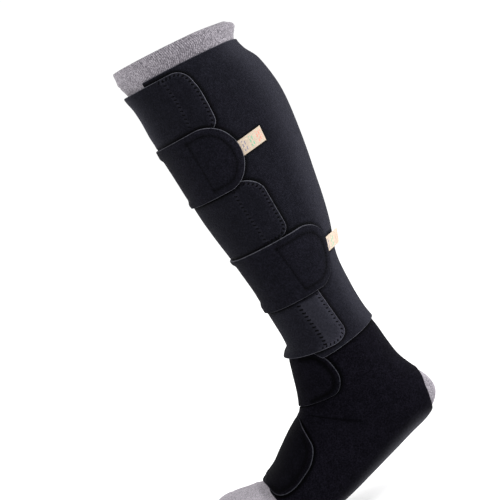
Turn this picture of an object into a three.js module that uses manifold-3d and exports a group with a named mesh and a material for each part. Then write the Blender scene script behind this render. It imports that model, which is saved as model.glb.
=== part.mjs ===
// A calf and foot compression wrap for a left leg, with the knitted liner sock that it is worn over.
// The calf panel is closed over the shin by three tabs and two straps with D-shaped ends. A second panel
// wraps the ankle and foot, is open at the heel and the toes, and is closed by two tabs. A hook patch sits
// under every closing end, and a ribbon label sticks out from under each strap.
// Millimetres. +Z runs up the calf, -Y points to the toes and +X to the outer side of the leg. The origin is
// the middle of the leg at the calf panel's top rim.
import * as THREE from "three";
import { mergeVertices } from "three/addons/utils/BufferGeometryUtils.js";
import Module from "manifold-3d";

const wasm = await Module();
wasm.setup();

// Rows of values with named columns.
function table(columns, rows) {
  return rows.map((row) => Object.fromEntries(columns.map((column, i) => [column, row[i]])));
}

// Wall thicknesses, and the clearance between one layer and the next.
const GAP = 0.35;
const EASE = 0.45; // more clearance where a closing end lies over another piece's corner
const KNIT = 1.3;
const CALF_FOAM = 2.6;
const FOOT_FOAM = 2.4;
const HOOK = 1.0;
const RIBBON = 0.9;
const CALF_LAYER = CALF_FOAM + GAP;
const FOOT_LAYER = FOOT_FOAM + GAP;
const HOOK_LAYER = HOOK + GAP;

// Heights down the leg's middle line, measured from the calf panel's rim.
const SOCK_TOP = -24;
const CALF_TOP = 0;
const CALF_HEM = 311.5;
const LAST_CALF_ROW = 306; // the calf panel's last level row above its hem
const HEM_DROP = 14; // how much lower the calf panel's hem would be at the shin than at the back
const HEM_CUT = 13; // the hem's corner is cut away by this much at the calf panel's front edge
const FOOT_TOP = 276;
const BRIDGE_TOP = 225; // the calf cloth starts to leave the leg here to clear the foot panel's rim
const HOOK_LOWEST = 297; // the calf tabs' hook patches end above the ankle tab
const TOE_EDGE = 520;
const TOE_RISE = 7; // how much further the foot panel's toe edge reaches on the instep than on the sole
const LAST_FOOT_ROW = 514; // the foot panel's last level row before its toe edge
const SOCK_TOE = 594;
const TOE_CAP = 5;

// Angles round the leg in degrees: 0 is the shin, 90 the outer side, 180 the back and -90 the inner side.
const CALF_FRONT_EDGE = 48;
const CALF_SEAM = -60;
const STRAP_ROOT = -108;
const HEM_CUT_SPAN = 19;
const EASE_IN = 60; // a closing end takes this much of a turn to climb on to the next layer
const FOOT_FRONT_EDGE = -12;
const FOOT_SEAM = -24;
const COLUMN = 12;
const SEAM_GAP = 0.8;
const NEAR_COLUMN = 1; // columns nearer than this are one
const FULL_TURN = 360;

// Sections through the leg and foot, from the sock's top to the toes. Each lies in the plane of its front and
// back points and of the X axis. On the foot, front is the instep and back is the heel or the sole. half is
// half the width, shift moves the middle sideways, and the rounds are exponents, where 2 is an ellipse.
const STATIONS = table(
  ["along", "frontY", "frontZ", "backY", "backZ", "half", "shift", "frontRound", "backRound"],
  [
    [-24, -59, 24, 64.5, 16, 54, 0, 2, 2.1],
    [-10, -58, 11.5, 68, 6, 55.5, 0, 2, 2.1],
    [0, -57, 2.5, 61, -4, 55.5, 0, 2, 2.1],
    [14, -55.5, -12.5, 63, -17, 56.5, 0, 2, 2.1],
    [32, -54.5, -31, 71, -33, 58, -1, 2, 2.1],
    [65, -55.3, -65, 75.8, -65, 59.5, -2, 2, 2.1],
    [100, -54, -100, 73.4, -100, 58, -2, 2, 2.1],
    [150, -51.5, -150, 65, -150, 52.5, -2, 2, 2.1],
    [200, -45.4, -200, 54.6, -200, 45.5, -1, 2, 2.1],
    [240, -41.5, -240, 41.3, -240, 39.5, 0, 2, 2.1],
    [270, -38.5, -270, 37.1, -270, 36.5, 0, 2, 2.1],
    [298, -38.8, -297, 37.6, -299, 35.5, 0, 2, 2.1],
    [320, -45, -315, 41.5, -322, 36.5, 0, 2, 2.1],
    [340, -49.5, -332, 43.5, -342, 37, 0, 2, 2.1],
    [357, -53.5, -345.5, 46.5, -361, 36.5, 0, 2, 2.2],
    [372, -57, -355, 53.5, -378, 36, 0, 2, 2.2],
    [384, -60, -361, 61.3, -393.3, 36, 0, 2, 2.3],
    [396, -63.5, -365.5, 62.2, -410, 36, 0, 2, 2.4],
    [408, -67.5, -369.5, 48, -424.5, 36, 0, 2, 2.5],
    [424, -74.3, -373.4, 19.8, -432.9, 36, 0, 2.1, 2.7],
    [446, -86.2, -381, -16, -443, 38.5, -1, 2.1, 2.9],
    [470, -100.3, -391.3, -52, -452.9, 42, -2, 2.1, 3],
    [496, -114, -401.5, -91, -462.2, 45, -3, 2.1, 3],
    [520, -128.5, -407.5, -124, -470.2, 47, -4, 2.1, 3],
    [542, -147, -407.5, -148, -465, 47.5, -5, 2.1, 2.7],
    [564, -166, -403, -171, -449, 44, -7, 2.1, 2.4],
    [582, -182, -404, -188, -435, 35, -9, 2.1, 2.2],
    [594, -191, -409, -195, -424, 18, -10, 2, 2],
  ],
);

// The heights where every panel has a row of vertices, so that stacked panels keep parallel facets.
const ROW_GRID = [
  -10, 0, 13, 26, 52, 78, 104, 130, 156, 182, 208, 234, 254, 274, 297, 306, 318, 334, 348, 360, 372, 384, 396,
  408, 420, 436, 456, 478, 500, 514, 524, 540, 560, 578, 588,
];

// The closing tabs of the calf panel. top and bottom are heights, bottomSeam is the lower edge's height at
// its seam, end is the angle of the free end, the corners are radii, and the hook patch starts at an angle on
// the grid of columns.
const CALF_TABS = table(
  ["name", "hook", "top", "bottomSeam", "bottom", "end", "topCorner", "bottomCorner", "hookStart"],
  [
    ["calf_tab_top", "hook_patch_top", 5.5, 70.5, 70.5, 88, 13, 10, 60],
    ["calf_tab_middle", "hook_patch_middle", 124.5, 199, 191.5, 96.5, 20, 10, 60],
    ["calf_tab_bottom", "hook_patch_bottom", 248, 312.5, 312.5, 106, 8, 14, 72],
  ],
);

// The straps, with the heights of the labels under their ends. labelLift is how far a label's tip stands off.
const STRAPS = table(
  ["name", "hook", "label", "top", "bottom", "end", "hookStart", "labelTop", "labelBottom", "labelLift"],
  [
    ["strap_upper", "hook_patch_strap_upper", "label_upper", 61.5, 128.5, 92, 48, 89.5, 104, 0.8],
    ["strap_lower", "hook_patch_strap_lower", "label_lower", 191.5, 254.5, 138, 84, 215, 229.5, 6],
  ],
);
const STRAP_SHARES = [0, 0.1, 0.25, 0.5, 0.75, 0.9, 1];
const D_FLAT = 3; // straight stretch left at the tip of a D-shaped end
const D_SQUASH = 1.25; // how much shorter a D-shaped end's corners are round the leg than down it
const TAB_SQUASH = 1.8; // the same for the foot tabs
const HOOK_INSET = 7; // from a closing end's edge to its hook patch
const LABEL_REACH = 24;
const LABEL_TUCK = 4;

// The closing tabs of the foot panel. near and far are the heights of the edges towards the knee and the
// toes, at the seam and at the free end.
const FOOT_TABS = table(
  [
    ...["name", "hook", "nearSeam", "nearEnd", "farSeam", "farEnd", "end"],
    ...["nearCorner", "farCorner", "hookNear", "hookFar"],
  ],
  [
    ["ankle_tab", "hook_patch_ankle", 308, 313, 386, 361, 78, 34, 20, 340, 354],
    ["instep_tab", "hook_patch_instep", 387.5, 453, 525, 517.5, 67, 20, 30, 462, 488],
  ],
);
const FOOT_HOOK_START = 36;

// The oval heel opening: its middle, its half sizes and the slope of its cut.
const HEEL_HOLE = { y: 57, z: -405, halfWidth: 22.5, halfHeight: 21, slope: 16, depth: 40 };

const COLOURS = { calf: 0x1d1e26, foot: 0x121216, hook: 0x0c0c0f, label: 0xe8d6b8, sock: 0xa7a7ad };

const lerp = THREE.MathUtils.lerp;
const ramp = (value, from, to) => THREE.MathUtils.smoothstep(value, from, to);

// The section at any height, with every column of the table on one smooth curve.
function stationAt(along) {
  const last = STATIONS.length - 2;
  let i = 0;
  while (i < last && STATIONS[i + 1].along <= along) i += 1;
  const rows = [Math.max(i - 1, 0), i, i + 1, Math.min(i + 2, last + 1)].map((row) => STATIONS[row]);
  const span = rows[2].along - rows[1].along;
  const t = (along - rows[1].along) / span;
  const station = {};
  for (const column of Object.keys(rows[1])) {
    const [before, from, to, after] = rows.map((row) => row[column]);
    const slopeFrom = ((to - before) / (rows[2].along - rows[0].along)) * span;
    const slopeTo = ((after - from) / (rows[3].along - rows[1].along)) * span;
    const bend = 2 * (from - to) + slopeFrom + slopeTo;
    station[column] = from + t * (slopeFrom + t * (to - from - slopeFrom - bend + t * bend));
  }
  return station;
}

// A power that keeps its number's sign.
const signedPower = (number, power) => Math.sign(number) * Math.abs(number) ** power;

// A point of the sock's outer face.
function skinPoint(along, angle) {
  const station = stationAt(along);
  const turn = THREE.MathUtils.degToRad(angle);
  const forward = Math.cos(turn);
  const power = 2 / (forward > 0 ? station.frontRound : station.backRound);
  const share = (1 - signedPower(forward, power)) / 2;
  return new THREE.Vector3(
    station.shift + station.half * signedPower(Math.sin(turn), power),
    lerp(station.frontY, station.backY, share),
    lerp(station.frontZ, station.backZ, share),
  );
}

// A point at a height off the sock's outer face, along that face's normal.
function offSkin(along, angle, height) {
  const reach = 0.5;
  const down = skinPoint(along + reach, angle).sub(skinPoint(along - reach, angle));
  const round = skinPoint(along, angle + reach).sub(skinPoint(along, angle - reach));
  const normal = down.cross(round).normalize();
  return skinPoint(along, angle).addScaledVector(normal, height);
}

// Millimetres of girth in one degree round the leg.
function girthPerDegree(along) {
  const station = stationAt(along);
  const depth = Math.hypot(station.backY - station.frontY, station.backZ - station.frontZ) / 2;
  return THREE.MathUtils.degToRad((station.half + depth) / 2);
}

// A closed geometry with merged corners, made from any three.js geometry.
function closed(geometry) {
  const plain = geometry.clone();
  plain.deleteAttribute("normal");
  plain.deleteAttribute("uv");
  return mergeVertices(plain, 1e-4);
}

// A sheet of cloth: a flat box whose vertices are bent round the leg. columns are angles, heights gives the
// heights of its rows of vertices at an angle, and under gives the height of its underside off the sock.
function sheet({ columns, heights, under, thickness }) {
  const rows = heights(columns[0]).length - 1;
  const box = closed(new THREE.BoxGeometry(1, 1, 1, columns.length - 1, rows, 1));
  const position = box.getAttribute("position");
  for (let i = 0; i < position.count; i += 1) {
    const angle = columns[Math.round((position.getX(i) + 0.5) * (columns.length - 1))];
    const along = heights(angle)[Math.round((0.5 - position.getY(i)) * rows)];
    const height = under(along, angle) + (position.getZ(i) > 0 ? thickness : 0);
    position.setXYZ(i, ...offSkin(along, angle, height).toArray());
  }
  return box;
}

// Angles from start to end on the common grid of columns.
function gridColumns(start, end) {
  const columns = [start];
  const first = Math.ceil((start + 1) / COLUMN) * COLUMN;
  for (let angle = first; angle < end - 1; angle += COLUMN) columns.push(angle);
  return [...columns, end];
}

// Heights from top to bottom on the common grid of rows.
function gridHeights(top, bottom) {
  const clear = 4;
  return [top, ...ROW_GRID.filter((along) => along > top + clear && along < bottom - clear), bottom];
}

// How far an edge has turned in at a distance from a corner's end.
function turnIn(radius, distance) {
  return distance < radius ? radius - Math.sqrt(radius ** 2 - (radius - distance) ** 2) : 0;
}

// The columns and rows of a sheet with a free end: straight edges that turn in round two corners. shares
// spreads the rows from 0 at the upper edge to 1 at the lower edge. squash shortens corners round the leg.
function closingEnd({ start, end, upper, lower, upperCorner, lowerCorner, shares, squash = 1 }) {
  const perDegree = girthPerDegree((upper(end) + lower(end)) / 2);
  const corner = Math.max(upperCorner, lowerCorner);
  const round = [0, 30, 55, 75].map((turn) => 1 - Math.sin(THREE.MathUtils.degToRad(turn)));
  const grid = gridColumns(start, end);
  const extra = round
    .map((share) => end - (corner * share) / (perDegree * squash))
    .filter((angle) => grid.every((column) => Math.abs(column - angle) > NEAR_COLUMN));
  const columns = [...grid, ...extra].sort((a, b) => a - b);
  const heights = (angle) => {
    const distance = Math.max((end - angle) * perDegree * squash, 0);
    const from = upper(angle) + turnIn(upperCorner, distance);
    const to = lower(angle) - turnIn(lowerCorner, distance);
    return shares.map((share) => lerp(from, to, share));
  };
  return { columns, heights, perDegree };
}

const evenShares = (count) => Array.from({ length: count + 1 }, (_, i) => i / count);

// How far the calf panel and its tabs are lifted by the foot panel and the ankle tab under them.
function overFoot(along, angle) {
  const overPanel = FOOT_LAYER * ramp(along, BRIDGE_TOP, FOOT_TOP - 2);
  const ankleTab = FOOT_TABS[0];
  const besideTab =
    ramp(angle, FOOT_SEAM - COLUMN, FOOT_FRONT_EDGE) *
    (1 - ramp(angle, ankleTab.end + 4, ankleTab.end + 4 + 2 * COLUMN));
  const overTab = (FOOT_LAYER + 2 * EASE) * ramp(along, ankleTab.nearSeam - 11, ankleTab.nearSeam - 2);
  return overPanel + overTab * besideTab;
}

// How much of a layer lies over the calf panel's front edge, and over a hook patch that starts at an angle.
const overFrontEdge = (angle) => ramp(angle, CALF_FRONT_EDGE - EASE_IN, CALF_FRONT_EDGE);
const overHook = (angle, hookStart) => HOOK_LAYER * ramp(angle, hookStart - EASE_IN, hookStart);

// The height of a calf tab's lower edge at an angle.
function bottomOf(tab, angle) {
  return lerp(tab.bottomSeam, tab.bottom, (angle - CALF_SEAM) / (tab.end - CALF_SEAM));
}

// The underside of a calf tab, which leaves the sock to climb over the calf panel's front edge.
function underCalfTab(tab) {
  return (along, angle) =>
    GAP + overFoot(along, angle) + CALF_LAYER * overFrontEdge(angle) + overHook(angle, tab.hookStart);
}

// The underside of a strap. It lies on the panel at its root and its end, dips to the sock over the shin, and
// is lifted at both edges by the tabs that it overlaps.
function underStrap(strap) {
  const tabs = CALF_TABS.filter((tab) => tab.bottomSeam > strap.top && tab.top < strap.bottom);
  const seamPassed = (angle) => ramp(angle, CALF_SEAM, CALF_SEAM + 2 * COLUMN);
  return (along, angle) => {
    let height = GAP + EASE + CALF_LAYER * (angle < 0 ? 1 - seamPassed(angle) : overFrontEdge(angle));
    height += overFoot(along, angle) + overHook(angle, strap.hookStart);
    for (const tab of tabs) {
      const isAbove = tab.top < strap.top;
      const beside = isAbove
        ? 1 - ramp(along, bottomOf(tab, angle) + 1, bottomOf(tab, angle) + 11)
        : ramp(along, tab.top - 13, tab.top - 3);
      const present = angle < 0 ? seamPassed(angle) : 1 - ramp(angle, tab.end, tab.end + COLUMN);
      height += beside * present * (CALF_LAYER + overHook(angle, tab.hookStart));
    }
    return height;
  };
}

const onCalfPanel = (along, angle) => GAP + overFoot(along, angle) + CALF_LAYER;

// The knitted liner: a lathed profile that runs up the outer face and down the inner face, bent to the leg.
function linerSock() {
  const heights = [SOCK_TOP, ...ROW_GRID, SOCK_TOE];
  const outer = heights.map((along) => ({ along, height: 0 }));
  const inner = heights.map((along) => ({ along, height: -KNIT }));
  const profile = [...outer.reverse(), ...inner];
  const middle = (height) => offSkin(SOCK_TOE, 0, height).lerp(offSkin(SOCK_TOE, 180, height), 0.5);
  const tips = [middle(0), middle(-KNIT)];
  const forward = skinPoint(SOCK_TOE, 90).sub(skinPoint(SOCK_TOE - TOE_CAP, 90)).setX(0).normalize();
  tips.forEach((tip, i) => tip.addScaledVector(forward, TOE_CAP - KNIT * i));
  const points = [
    new THREE.Vector2(0, 0),
    ...profile.map((_, i) => new THREE.Vector2(1, i + 1)),
    new THREE.Vector2(0, profile.length + 1),
  ];
  const lathe = new THREE.LatheGeometry(points, FULL_TURN / COLUMN);
  const position = lathe.getAttribute("position");
  for (let i = 0; i < position.count; i += 1) {
    const place = Math.round(position.getY(i));
    if (place === 0 || place === points.length - 1) {
      position.setXYZ(i, ...tips[place === 0 ? 0 : 1].toArray());
      continue;
    }
    const turn = Math.atan2(position.getX(i), position.getZ(i));
    const angle = Math.round(THREE.MathUtils.radToDeg(turn) / COLUMN) * COLUMN;
    const { along, height } = profile[place - 1];
    position.setXYZ(i, ...offSkin(along, angle, height).toArray());
  }
  return closed(lathe);
}

// The foot panel, with the heel opening cut through it.
function footPanel() {
  const forward = (angle) => Math.max(Math.cos(THREE.MathUtils.degToRad(angle)), 0);
  const panel = sheet({
    columns: gridColumns(FOOT_FRONT_EDGE, FULL_TURN + FOOT_SEAM),
    heights: (angle) => [...gridHeights(FOOT_TOP, LAST_FOOT_ROW), TOE_EDGE + TOE_RISE * forward(angle) ** 2],
    under: () => GAP,
    thickness: FOOT_FOAM,
  });
  const cutter = new THREE.CylinderGeometry(1, 1, HEEL_HOLE.depth, 24);
  cutter.scale(HEEL_HOLE.halfWidth, 1, HEEL_HOLE.halfHeight);
  cutter.rotateX(-THREE.MathUtils.degToRad(HEEL_HOLE.slope));
  cutter.translate(0, HEEL_HOLE.y, HEEL_HOLE.z);
  return cut(panel, cutter);
}

// A three.js geometry as a solid, and one geometry cut by another.
function solid(geometry) {
  const merged = closed(geometry);
  return new wasm.Manifold(
    new wasm.Mesh({
      numProp: 3,
      vertProperties: merged.getAttribute("position").array,
      triVerts: new Uint32Array(merged.index.array),
    }),
  );
}

function cut(geometry, cutter) {
  const mesh = solid(geometry).subtract(solid(cutter)).getMesh();
  return new THREE.BufferGeometry()
    .setAttribute("position", new THREE.BufferAttribute(new Float32Array(mesh.vertProperties), 3))
    .setIndex(new THREE.BufferAttribute(new Uint32Array(mesh.triVerts), 1));
}

// The calf panel, from its front edge on the outer side round the back to the seam on the inner side.
function calfPanel() {
  const drop = (angle) => HEM_DROP * Math.cos(THREE.MathUtils.degToRad(angle / 2)) ** 2;
  const cutAway = (angle) => HEM_CUT * Math.max(1 - (angle - CALF_FRONT_EDGE) / HEM_CUT_SPAN, 0);
  const hem = (angle) => CALF_HEM + drop(angle) - cutAway(angle);
  return sheet({
    columns: gridColumns(CALF_FRONT_EDGE, FULL_TURN + CALF_SEAM),
    heights: (angle) => [...gridHeights(CALF_TOP, LAST_CALF_ROW), hem(angle)],
    under: (along, angle) => GAP + overFoot(along, angle),
    thickness: CALF_FOAM,
  });
}

// A small rectangular patch on a panel.
function patch({ start, end, top, bottom, under, thickness }) {
  const heights = gridHeights(top, bottom);
  return sheet({ columns: gridColumns(start, end), heights: () => heights, under, thickness });
}

const group = new THREE.Group();

function add(name, geometry, colour, roughness) {
  const material = new THREE.MeshStandardMaterial({ color: colour, roughness, metalness: 0 });
  const mesh = new THREE.Mesh(geometry, material);
  mesh.name = name;
  geometry.computeVertexNormals();
  group.add(mesh);
}

function addCalfTab(tab) {
  const seam = CALF_SEAM + SEAM_GAP;
  const end = closingEnd({
    start: seam,
    end: tab.end,
    upper: () => tab.top,
    lower: (angle) => bottomOf(tab, angle),
    upperCorner: tab.topCorner,
    lowerCorner: tab.bottomCorner,
    shares: gridHeights(tab.top, tab.bottom).map((along) => (along - tab.top) / (tab.bottom - tab.top)),
  });
  const under = underCalfTab(tab);
  add(tab.name, sheet({ ...end, under, thickness: CALF_FOAM }), COLOURS.calf, 0.9);
  const hook = patch({
    start: tab.hookStart,
    end: tab.end - HOOK_INSET / end.perDegree,
    top: tab.top + HOOK_INSET,
    bottom: Math.min(tab.bottom - HOOK_INSET, HOOK_LOWEST),
    under: onCalfPanel,
    thickness: HOOK,
  });
  add(tab.hook, hook, COLOURS.hook, 1);
}

function addStrap(strap) {
  const radius = (strap.bottom - strap.top - D_FLAT) / 2;
  const end = closingEnd({
    start: STRAP_ROOT,
    end: strap.end,
    upper: () => strap.top,
    lower: () => strap.bottom,
    upperCorner: radius,
    lowerCorner: radius,
    shares: STRAP_SHARES,
    squash: D_SQUASH,
  });
  const under = underStrap(strap);
  add(strap.name, sheet({ ...end, under, thickness: CALF_FOAM }), COLOURS.calf, 0.9);

  const hookEnd = closingEnd({
    start: strap.hookStart,
    end: strap.end - HOOK_INSET / end.perDegree,
    upper: () => strap.top + HOOK_INSET + 1,
    lower: () => strap.bottom - HOOK_INSET - 1,
    upperCorner: radius - HOOK_INSET - 1,
    lowerCorner: radius - HOOK_INSET - 1,
    shares: evenShares(3),
    squash: D_SQUASH,
  });
  const hook = sheet({ ...hookEnd, under: onCalfPanel, thickness: HOOK });
  add(strap.hook, hook, COLOURS.hook, 1);

  // The label leaves the panel slowly, as a stiff ribbon does on a round leg.
  const labelEnd = strap.end + LABEL_REACH / end.perDegree;
  const lift = (angle) => strap.labelLift * ramp(angle, strap.end, 2 * labelEnd - strap.end) * 2;
  const label = patch({
    start: strap.end - LABEL_TUCK / end.perDegree,
    end: labelEnd,
    top: strap.labelTop,
    bottom: strap.labelBottom,
    under: (along, angle) => onCalfPanel(along, angle) + lift(angle),
    thickness: RIBBON,
  });
  add(strap.label, label, COLOURS.label, 0.7);
}

function addFootTab(tab) {
  const share = (angle) => (angle - FOOT_SEAM) / (tab.end - FOOT_SEAM);
  const near = (angle) => lerp(tab.nearSeam, tab.nearEnd, share(angle));
  const far = (angle) => lerp(tab.farSeam, tab.farEnd, share(angle));
  const end = closingEnd({
    start: FOOT_SEAM + SEAM_GAP,
    end: tab.end,
    upper: near,
    lower: far,
    upperCorner: tab.nearCorner,
    lowerCorner: tab.farCorner,
    shares: evenShares(6),
    squash: TAB_SQUASH,
  });
  const overEdge = (angle) => ramp(angle, FOOT_FRONT_EDGE - COLUMN, FOOT_FRONT_EDGE);
  const onFootPanel = (along, angle) => GAP + FOOT_LAYER * overEdge(angle);
  const clearOfHem = (along) => ramp(along, CALF_HEM + HEM_DROP + 1, CALF_HEM + HEM_DROP + 11);
  const overPatch = (along, angle) => overHook(angle, FOOT_HOOK_START) * clearOfHem(along);
  const under = (along, angle) => EASE + onFootPanel(along, angle) + overPatch(along, angle);
  add(tab.name, sheet({ ...end, under, thickness: FOOT_FOAM }), COLOURS.foot, 0.95);
  const hook = patch({
    start: FOOT_HOOK_START,
    end: tab.end - HOOK_INSET / end.perDegree,
    top: tab.hookNear,
    bottom: tab.hookFar,
    under: onFootPanel,
    thickness: HOOK,
  });
  add(tab.hook, hook, COLOURS.hook, 1);
}

add("liner_sock", linerSock(), COLOURS.sock, 0.95);
add("foot_panel", footPanel(), COLOURS.foot, 0.95);
FOOT_TABS.forEach(addFootTab);
add("calf_panel", calfPanel(), COLOURS.calf, 0.9);
CALF_TABS.forEach(addCalfTab);
STRAPS.forEach(addStrap);

export default group;
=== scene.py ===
"""Dresses a calf and foot compression wrap in cloth, stitches, labels and a liner sock, in a small studio.

The tables are in millimetres, as on a cutting sheet, and the finishes and lights are in metres. Heights run
down the middle of the leg from the calf panel's rim. Angles run round it in degrees: 0 is the shin, 90 the
outer side, 180 the back and -90 the inner side.
"""

import logging
import math
from dataclasses import astuple, dataclass, field, replace
from enum import Enum
from typing import Any, Callable, Sequence

import bmesh
import bpy
import numpy as np
from mathutils import Matrix, Vector, kdtree, noise


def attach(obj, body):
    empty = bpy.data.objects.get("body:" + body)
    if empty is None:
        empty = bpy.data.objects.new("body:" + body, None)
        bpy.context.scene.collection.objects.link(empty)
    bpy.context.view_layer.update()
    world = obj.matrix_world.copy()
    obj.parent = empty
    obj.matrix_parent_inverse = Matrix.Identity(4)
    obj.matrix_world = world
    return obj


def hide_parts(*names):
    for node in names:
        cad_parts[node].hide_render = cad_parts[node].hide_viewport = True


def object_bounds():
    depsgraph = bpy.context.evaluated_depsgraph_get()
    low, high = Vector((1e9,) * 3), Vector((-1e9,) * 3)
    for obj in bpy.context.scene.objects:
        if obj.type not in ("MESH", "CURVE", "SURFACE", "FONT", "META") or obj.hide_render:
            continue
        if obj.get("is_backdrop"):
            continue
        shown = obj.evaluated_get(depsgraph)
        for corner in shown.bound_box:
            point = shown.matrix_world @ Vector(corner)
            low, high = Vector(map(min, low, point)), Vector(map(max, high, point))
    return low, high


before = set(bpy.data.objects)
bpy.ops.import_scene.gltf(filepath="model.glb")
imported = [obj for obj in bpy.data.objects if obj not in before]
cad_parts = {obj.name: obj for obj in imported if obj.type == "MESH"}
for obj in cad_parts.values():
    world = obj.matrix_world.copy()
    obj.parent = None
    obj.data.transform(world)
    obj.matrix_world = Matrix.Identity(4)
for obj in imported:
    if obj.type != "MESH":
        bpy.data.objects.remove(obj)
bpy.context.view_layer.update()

LOG = logging.getLogger("compression_wrap")

Array = np.ndarray
Colour = tuple[float, float, float]
Field = Callable[[Array, Array], Array]

MM = 0.001
BODY = "root"
FULL_TURN = 360.0
OUTER_SIDE = 90.0
LEAST_CUT = 10.0
# How far out of an edge the painted shadow beside it stays full.
SHADOW_MARGIN = 1.0
TINY = 1e-6


class Slot(Enum):
    """The record's material slots."""

    HEATHER_KNIT = "heather_knit"
    FOOT_LAMINATE = "foot_laminate"
    CALF_LAMINATE = "calf_laminate"
    LABEL_RIBBON = "label_ribbon"
    HOOK_TAPE = "hook_tape"


class Hold(Enum):
    """How a piece of cloth is held on the leg."""

    STRETCHED = "stretched"
    LAID = "laid"


class Stitch(Enum):
    """The two stitches that the wrap is sewn with."""

    ZIGZAG = "zigzag"
    RUNNING = "running"


# Shader building.


class Value:
    """A number socket of a shader, which Python's operators turn into Math nodes."""

    def __init__(self, shader: "Shader", socket: bpy.types.NodeSocket) -> None:
        """Keeps the socket and the shader that it belongs to."""
        self.shader = shader
        self.socket = socket

    def _math(self, operation: str, *terms: "Value | float") -> "Value":
        """The result of one Math node, with its inputs in order."""
        return self.shader.node("ShaderNodeMath", {"operation": operation}, dict(enumerate(terms)))

    def __add__(self, other: "Value | float") -> "Value":
        """The sum of two values."""
        return self._math("ADD", self, other)

    __radd__ = __add__

    def __sub__(self, other: "Value | float") -> "Value":
        """The value less another."""
        return self._math("SUBTRACT", self, other)

    def __rsub__(self, other: float) -> "Value":
        """A number less the value."""
        return self._math("SUBTRACT", other, self)

    def __mul__(self, other: "Value | float") -> "Value":
        """The product of two values."""
        return self._math("MULTIPLY", self, other)

    __rmul__ = __mul__

    def sine(self) -> "Value":
        """The sine of the value in radians."""
        return self._math("SINE", self)

    def wrap(self, period: float) -> "Value":
        """The value's place within a repeating period."""
        return self._math("WRAP", self, period, 0.0)

    def most(self, other: "Value | float") -> "Value":
        """The larger of two values."""
        return self._math("MAXIMUM", self, other)

    def step(self, low: float, high: float) -> "Value":
        """A smooth step from 0 at the low value to 1 at the high one."""
        settings = {"interpolation_type": "SMOOTHSTEP"}
        return self.shader.node("ShaderNodeMapRange", settings, {"Value": self, 1: low, 2: high})

    def between(self, low: float, high: float, soft: float) -> "Value":
        """1 in a band and 0 outside it, with edges of a soft width."""
        return self.step(low - soft, low + soft) * (1 - self.step(high - soft, high + soft))


class Shader:
    """The node tree of one material with a Principled surface."""

    BLEND_FACTOR = 0
    BLEND_COLOURS = (6, 7)
    BLEND_RESULT = 2

    def __init__(self, name: str) -> None:
        """Makes an empty material.

        Args:
            name: the material's name.
        """
        self.material = bpy.data.materials.new(name)
        self.material.use_nodes = True
        self.tree = self.material.node_tree
        self.tree.nodes.clear()

    def add(self, kind: str, settings: dict[str, Any], sockets: dict[Any, Any]) -> bpy.types.Node:
        """Adds a node.

        Args:
            kind: the node's type.
            settings: its properties, set first.
            sockets: values or links by the name or number of the input.

        Returns:
            The node.
        """
        made = self.tree.nodes.new(kind)
        for key, setting in settings.items():
            setattr(made, key, setting)
        for key, given in sockets.items():
            if isinstance(given, Value):
                self.tree.links.new(given.socket, made.inputs[key])
            else:
                made.inputs[key].default_value = given
        return made

    def node(self, kind: str, settings: dict[str, Any], sockets: dict[Any, Any], output: Any = 0) -> Value:
        """Adds a node and gives its output of a name or number."""
        return Value(self, self.add(kind, settings, sockets).outputs[output])

    def place(self) -> Value:
        """The place of a point in the wrap's frame, in metres."""
        return self.node("ShaderNodeTexCoord", {}, {}, "Object")

    def cloth_axes(self) -> tuple[Value, Value]:
        """The place on the flat cloth in metres, across the leg and down it."""
        flat = self.node("ShaderNodeTexCoord", {}, {}, "UV")
        axes = [self.node("ShaderNodeSeparateXYZ", {}, {"Vector": flat}, axis) for axis in ("X", "Y")]
        return axes[0], axes[1]

    def attribute(self, name: str) -> Value:
        """A number that the mesh holds at each vertex."""
        return self.node("ShaderNodeAttribute", {"attribute_name": name}, {}, "Fac")

    def speckle(self, size: float, detail: float = 2.0, stretch: Sequence[float] | None = None) -> Value:
        """A noise of a real size.

        Args:
            size: the size of its grains in metres.
            detail: the number of finer octaves.
            stretch: lengths of a grain along X, Y and Z where they differ.

        Returns:
            A value around 0.5.
        """
        place = self.place()
        if stretch:
            scale = tuple(1.0 / length for length in stretch)
            place = self.node("ShaderNodeVectorMath", {"operation": "MULTIPLY"}, {0: place, 1: scale})
        return self.node("ShaderNodeTexNoise", {}, {"Vector": place, "Scale": 1.0 / size, "Detail": detail})

    def loops(self, size: float) -> Value:
        """Small round loops, high in the middle and low between, of a size in metres."""
        inputs = {"Vector": self.place(), "Scale": 1.0 / size}
        return 1 - self.node("ShaderNodeTexVoronoi", {"feature": "F1"}, inputs, "Distance")

    def blend(self, share: Value | float, first: Value | Colour, second: Value | Colour) -> Value:
        """Mixes two colours.

        Args:
            share: how much of the second colour there is.
            first: the colour at share 0.
            second: the colour at share 1.

        Returns:
            The mixed colour.
        """
        colours = [c if isinstance(c, Value) else (*c, 1.0) for c in (first, second)]
        sockets = {self.BLEND_FACTOR: share, **dict(zip(self.BLEND_COLOURS, colours))}
        return self.node("ShaderNodeMix", {"data_type": "RGBA"}, sockets, self.BLEND_RESULT)

    def finish(self, colour: Value, roughness: Value | float, relief: Value, depth: float,
               **constants: Any) -> bpy.types.Material:
        """Closes the tree with a Principled surface.

        Args:
            colour: the base colour.
            roughness: the roughness.
            relief: the height of the fine relief, from 0 to 1.
            depth: the relief's depth in metres.
            constants: values for the surface's other sockets, with _ for a space.

        Returns:
            The material.
        """
        bump = self.node("ShaderNodeBump", {}, {"Strength": 1.0, "Distance": depth, "Height": relief})
        sockets = {"Base Color": colour, "Roughness": roughness, "Normal": bump}
        sockets.update({key.replace("_", " "): given for key, given in constants.items()})
        surface = self.node("ShaderNodeBsdfPrincipled", {}, sockets)
        self.add("ShaderNodeOutputMaterial", {}, {"Surface": surface})
        return self.material


# Finishes.


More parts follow.
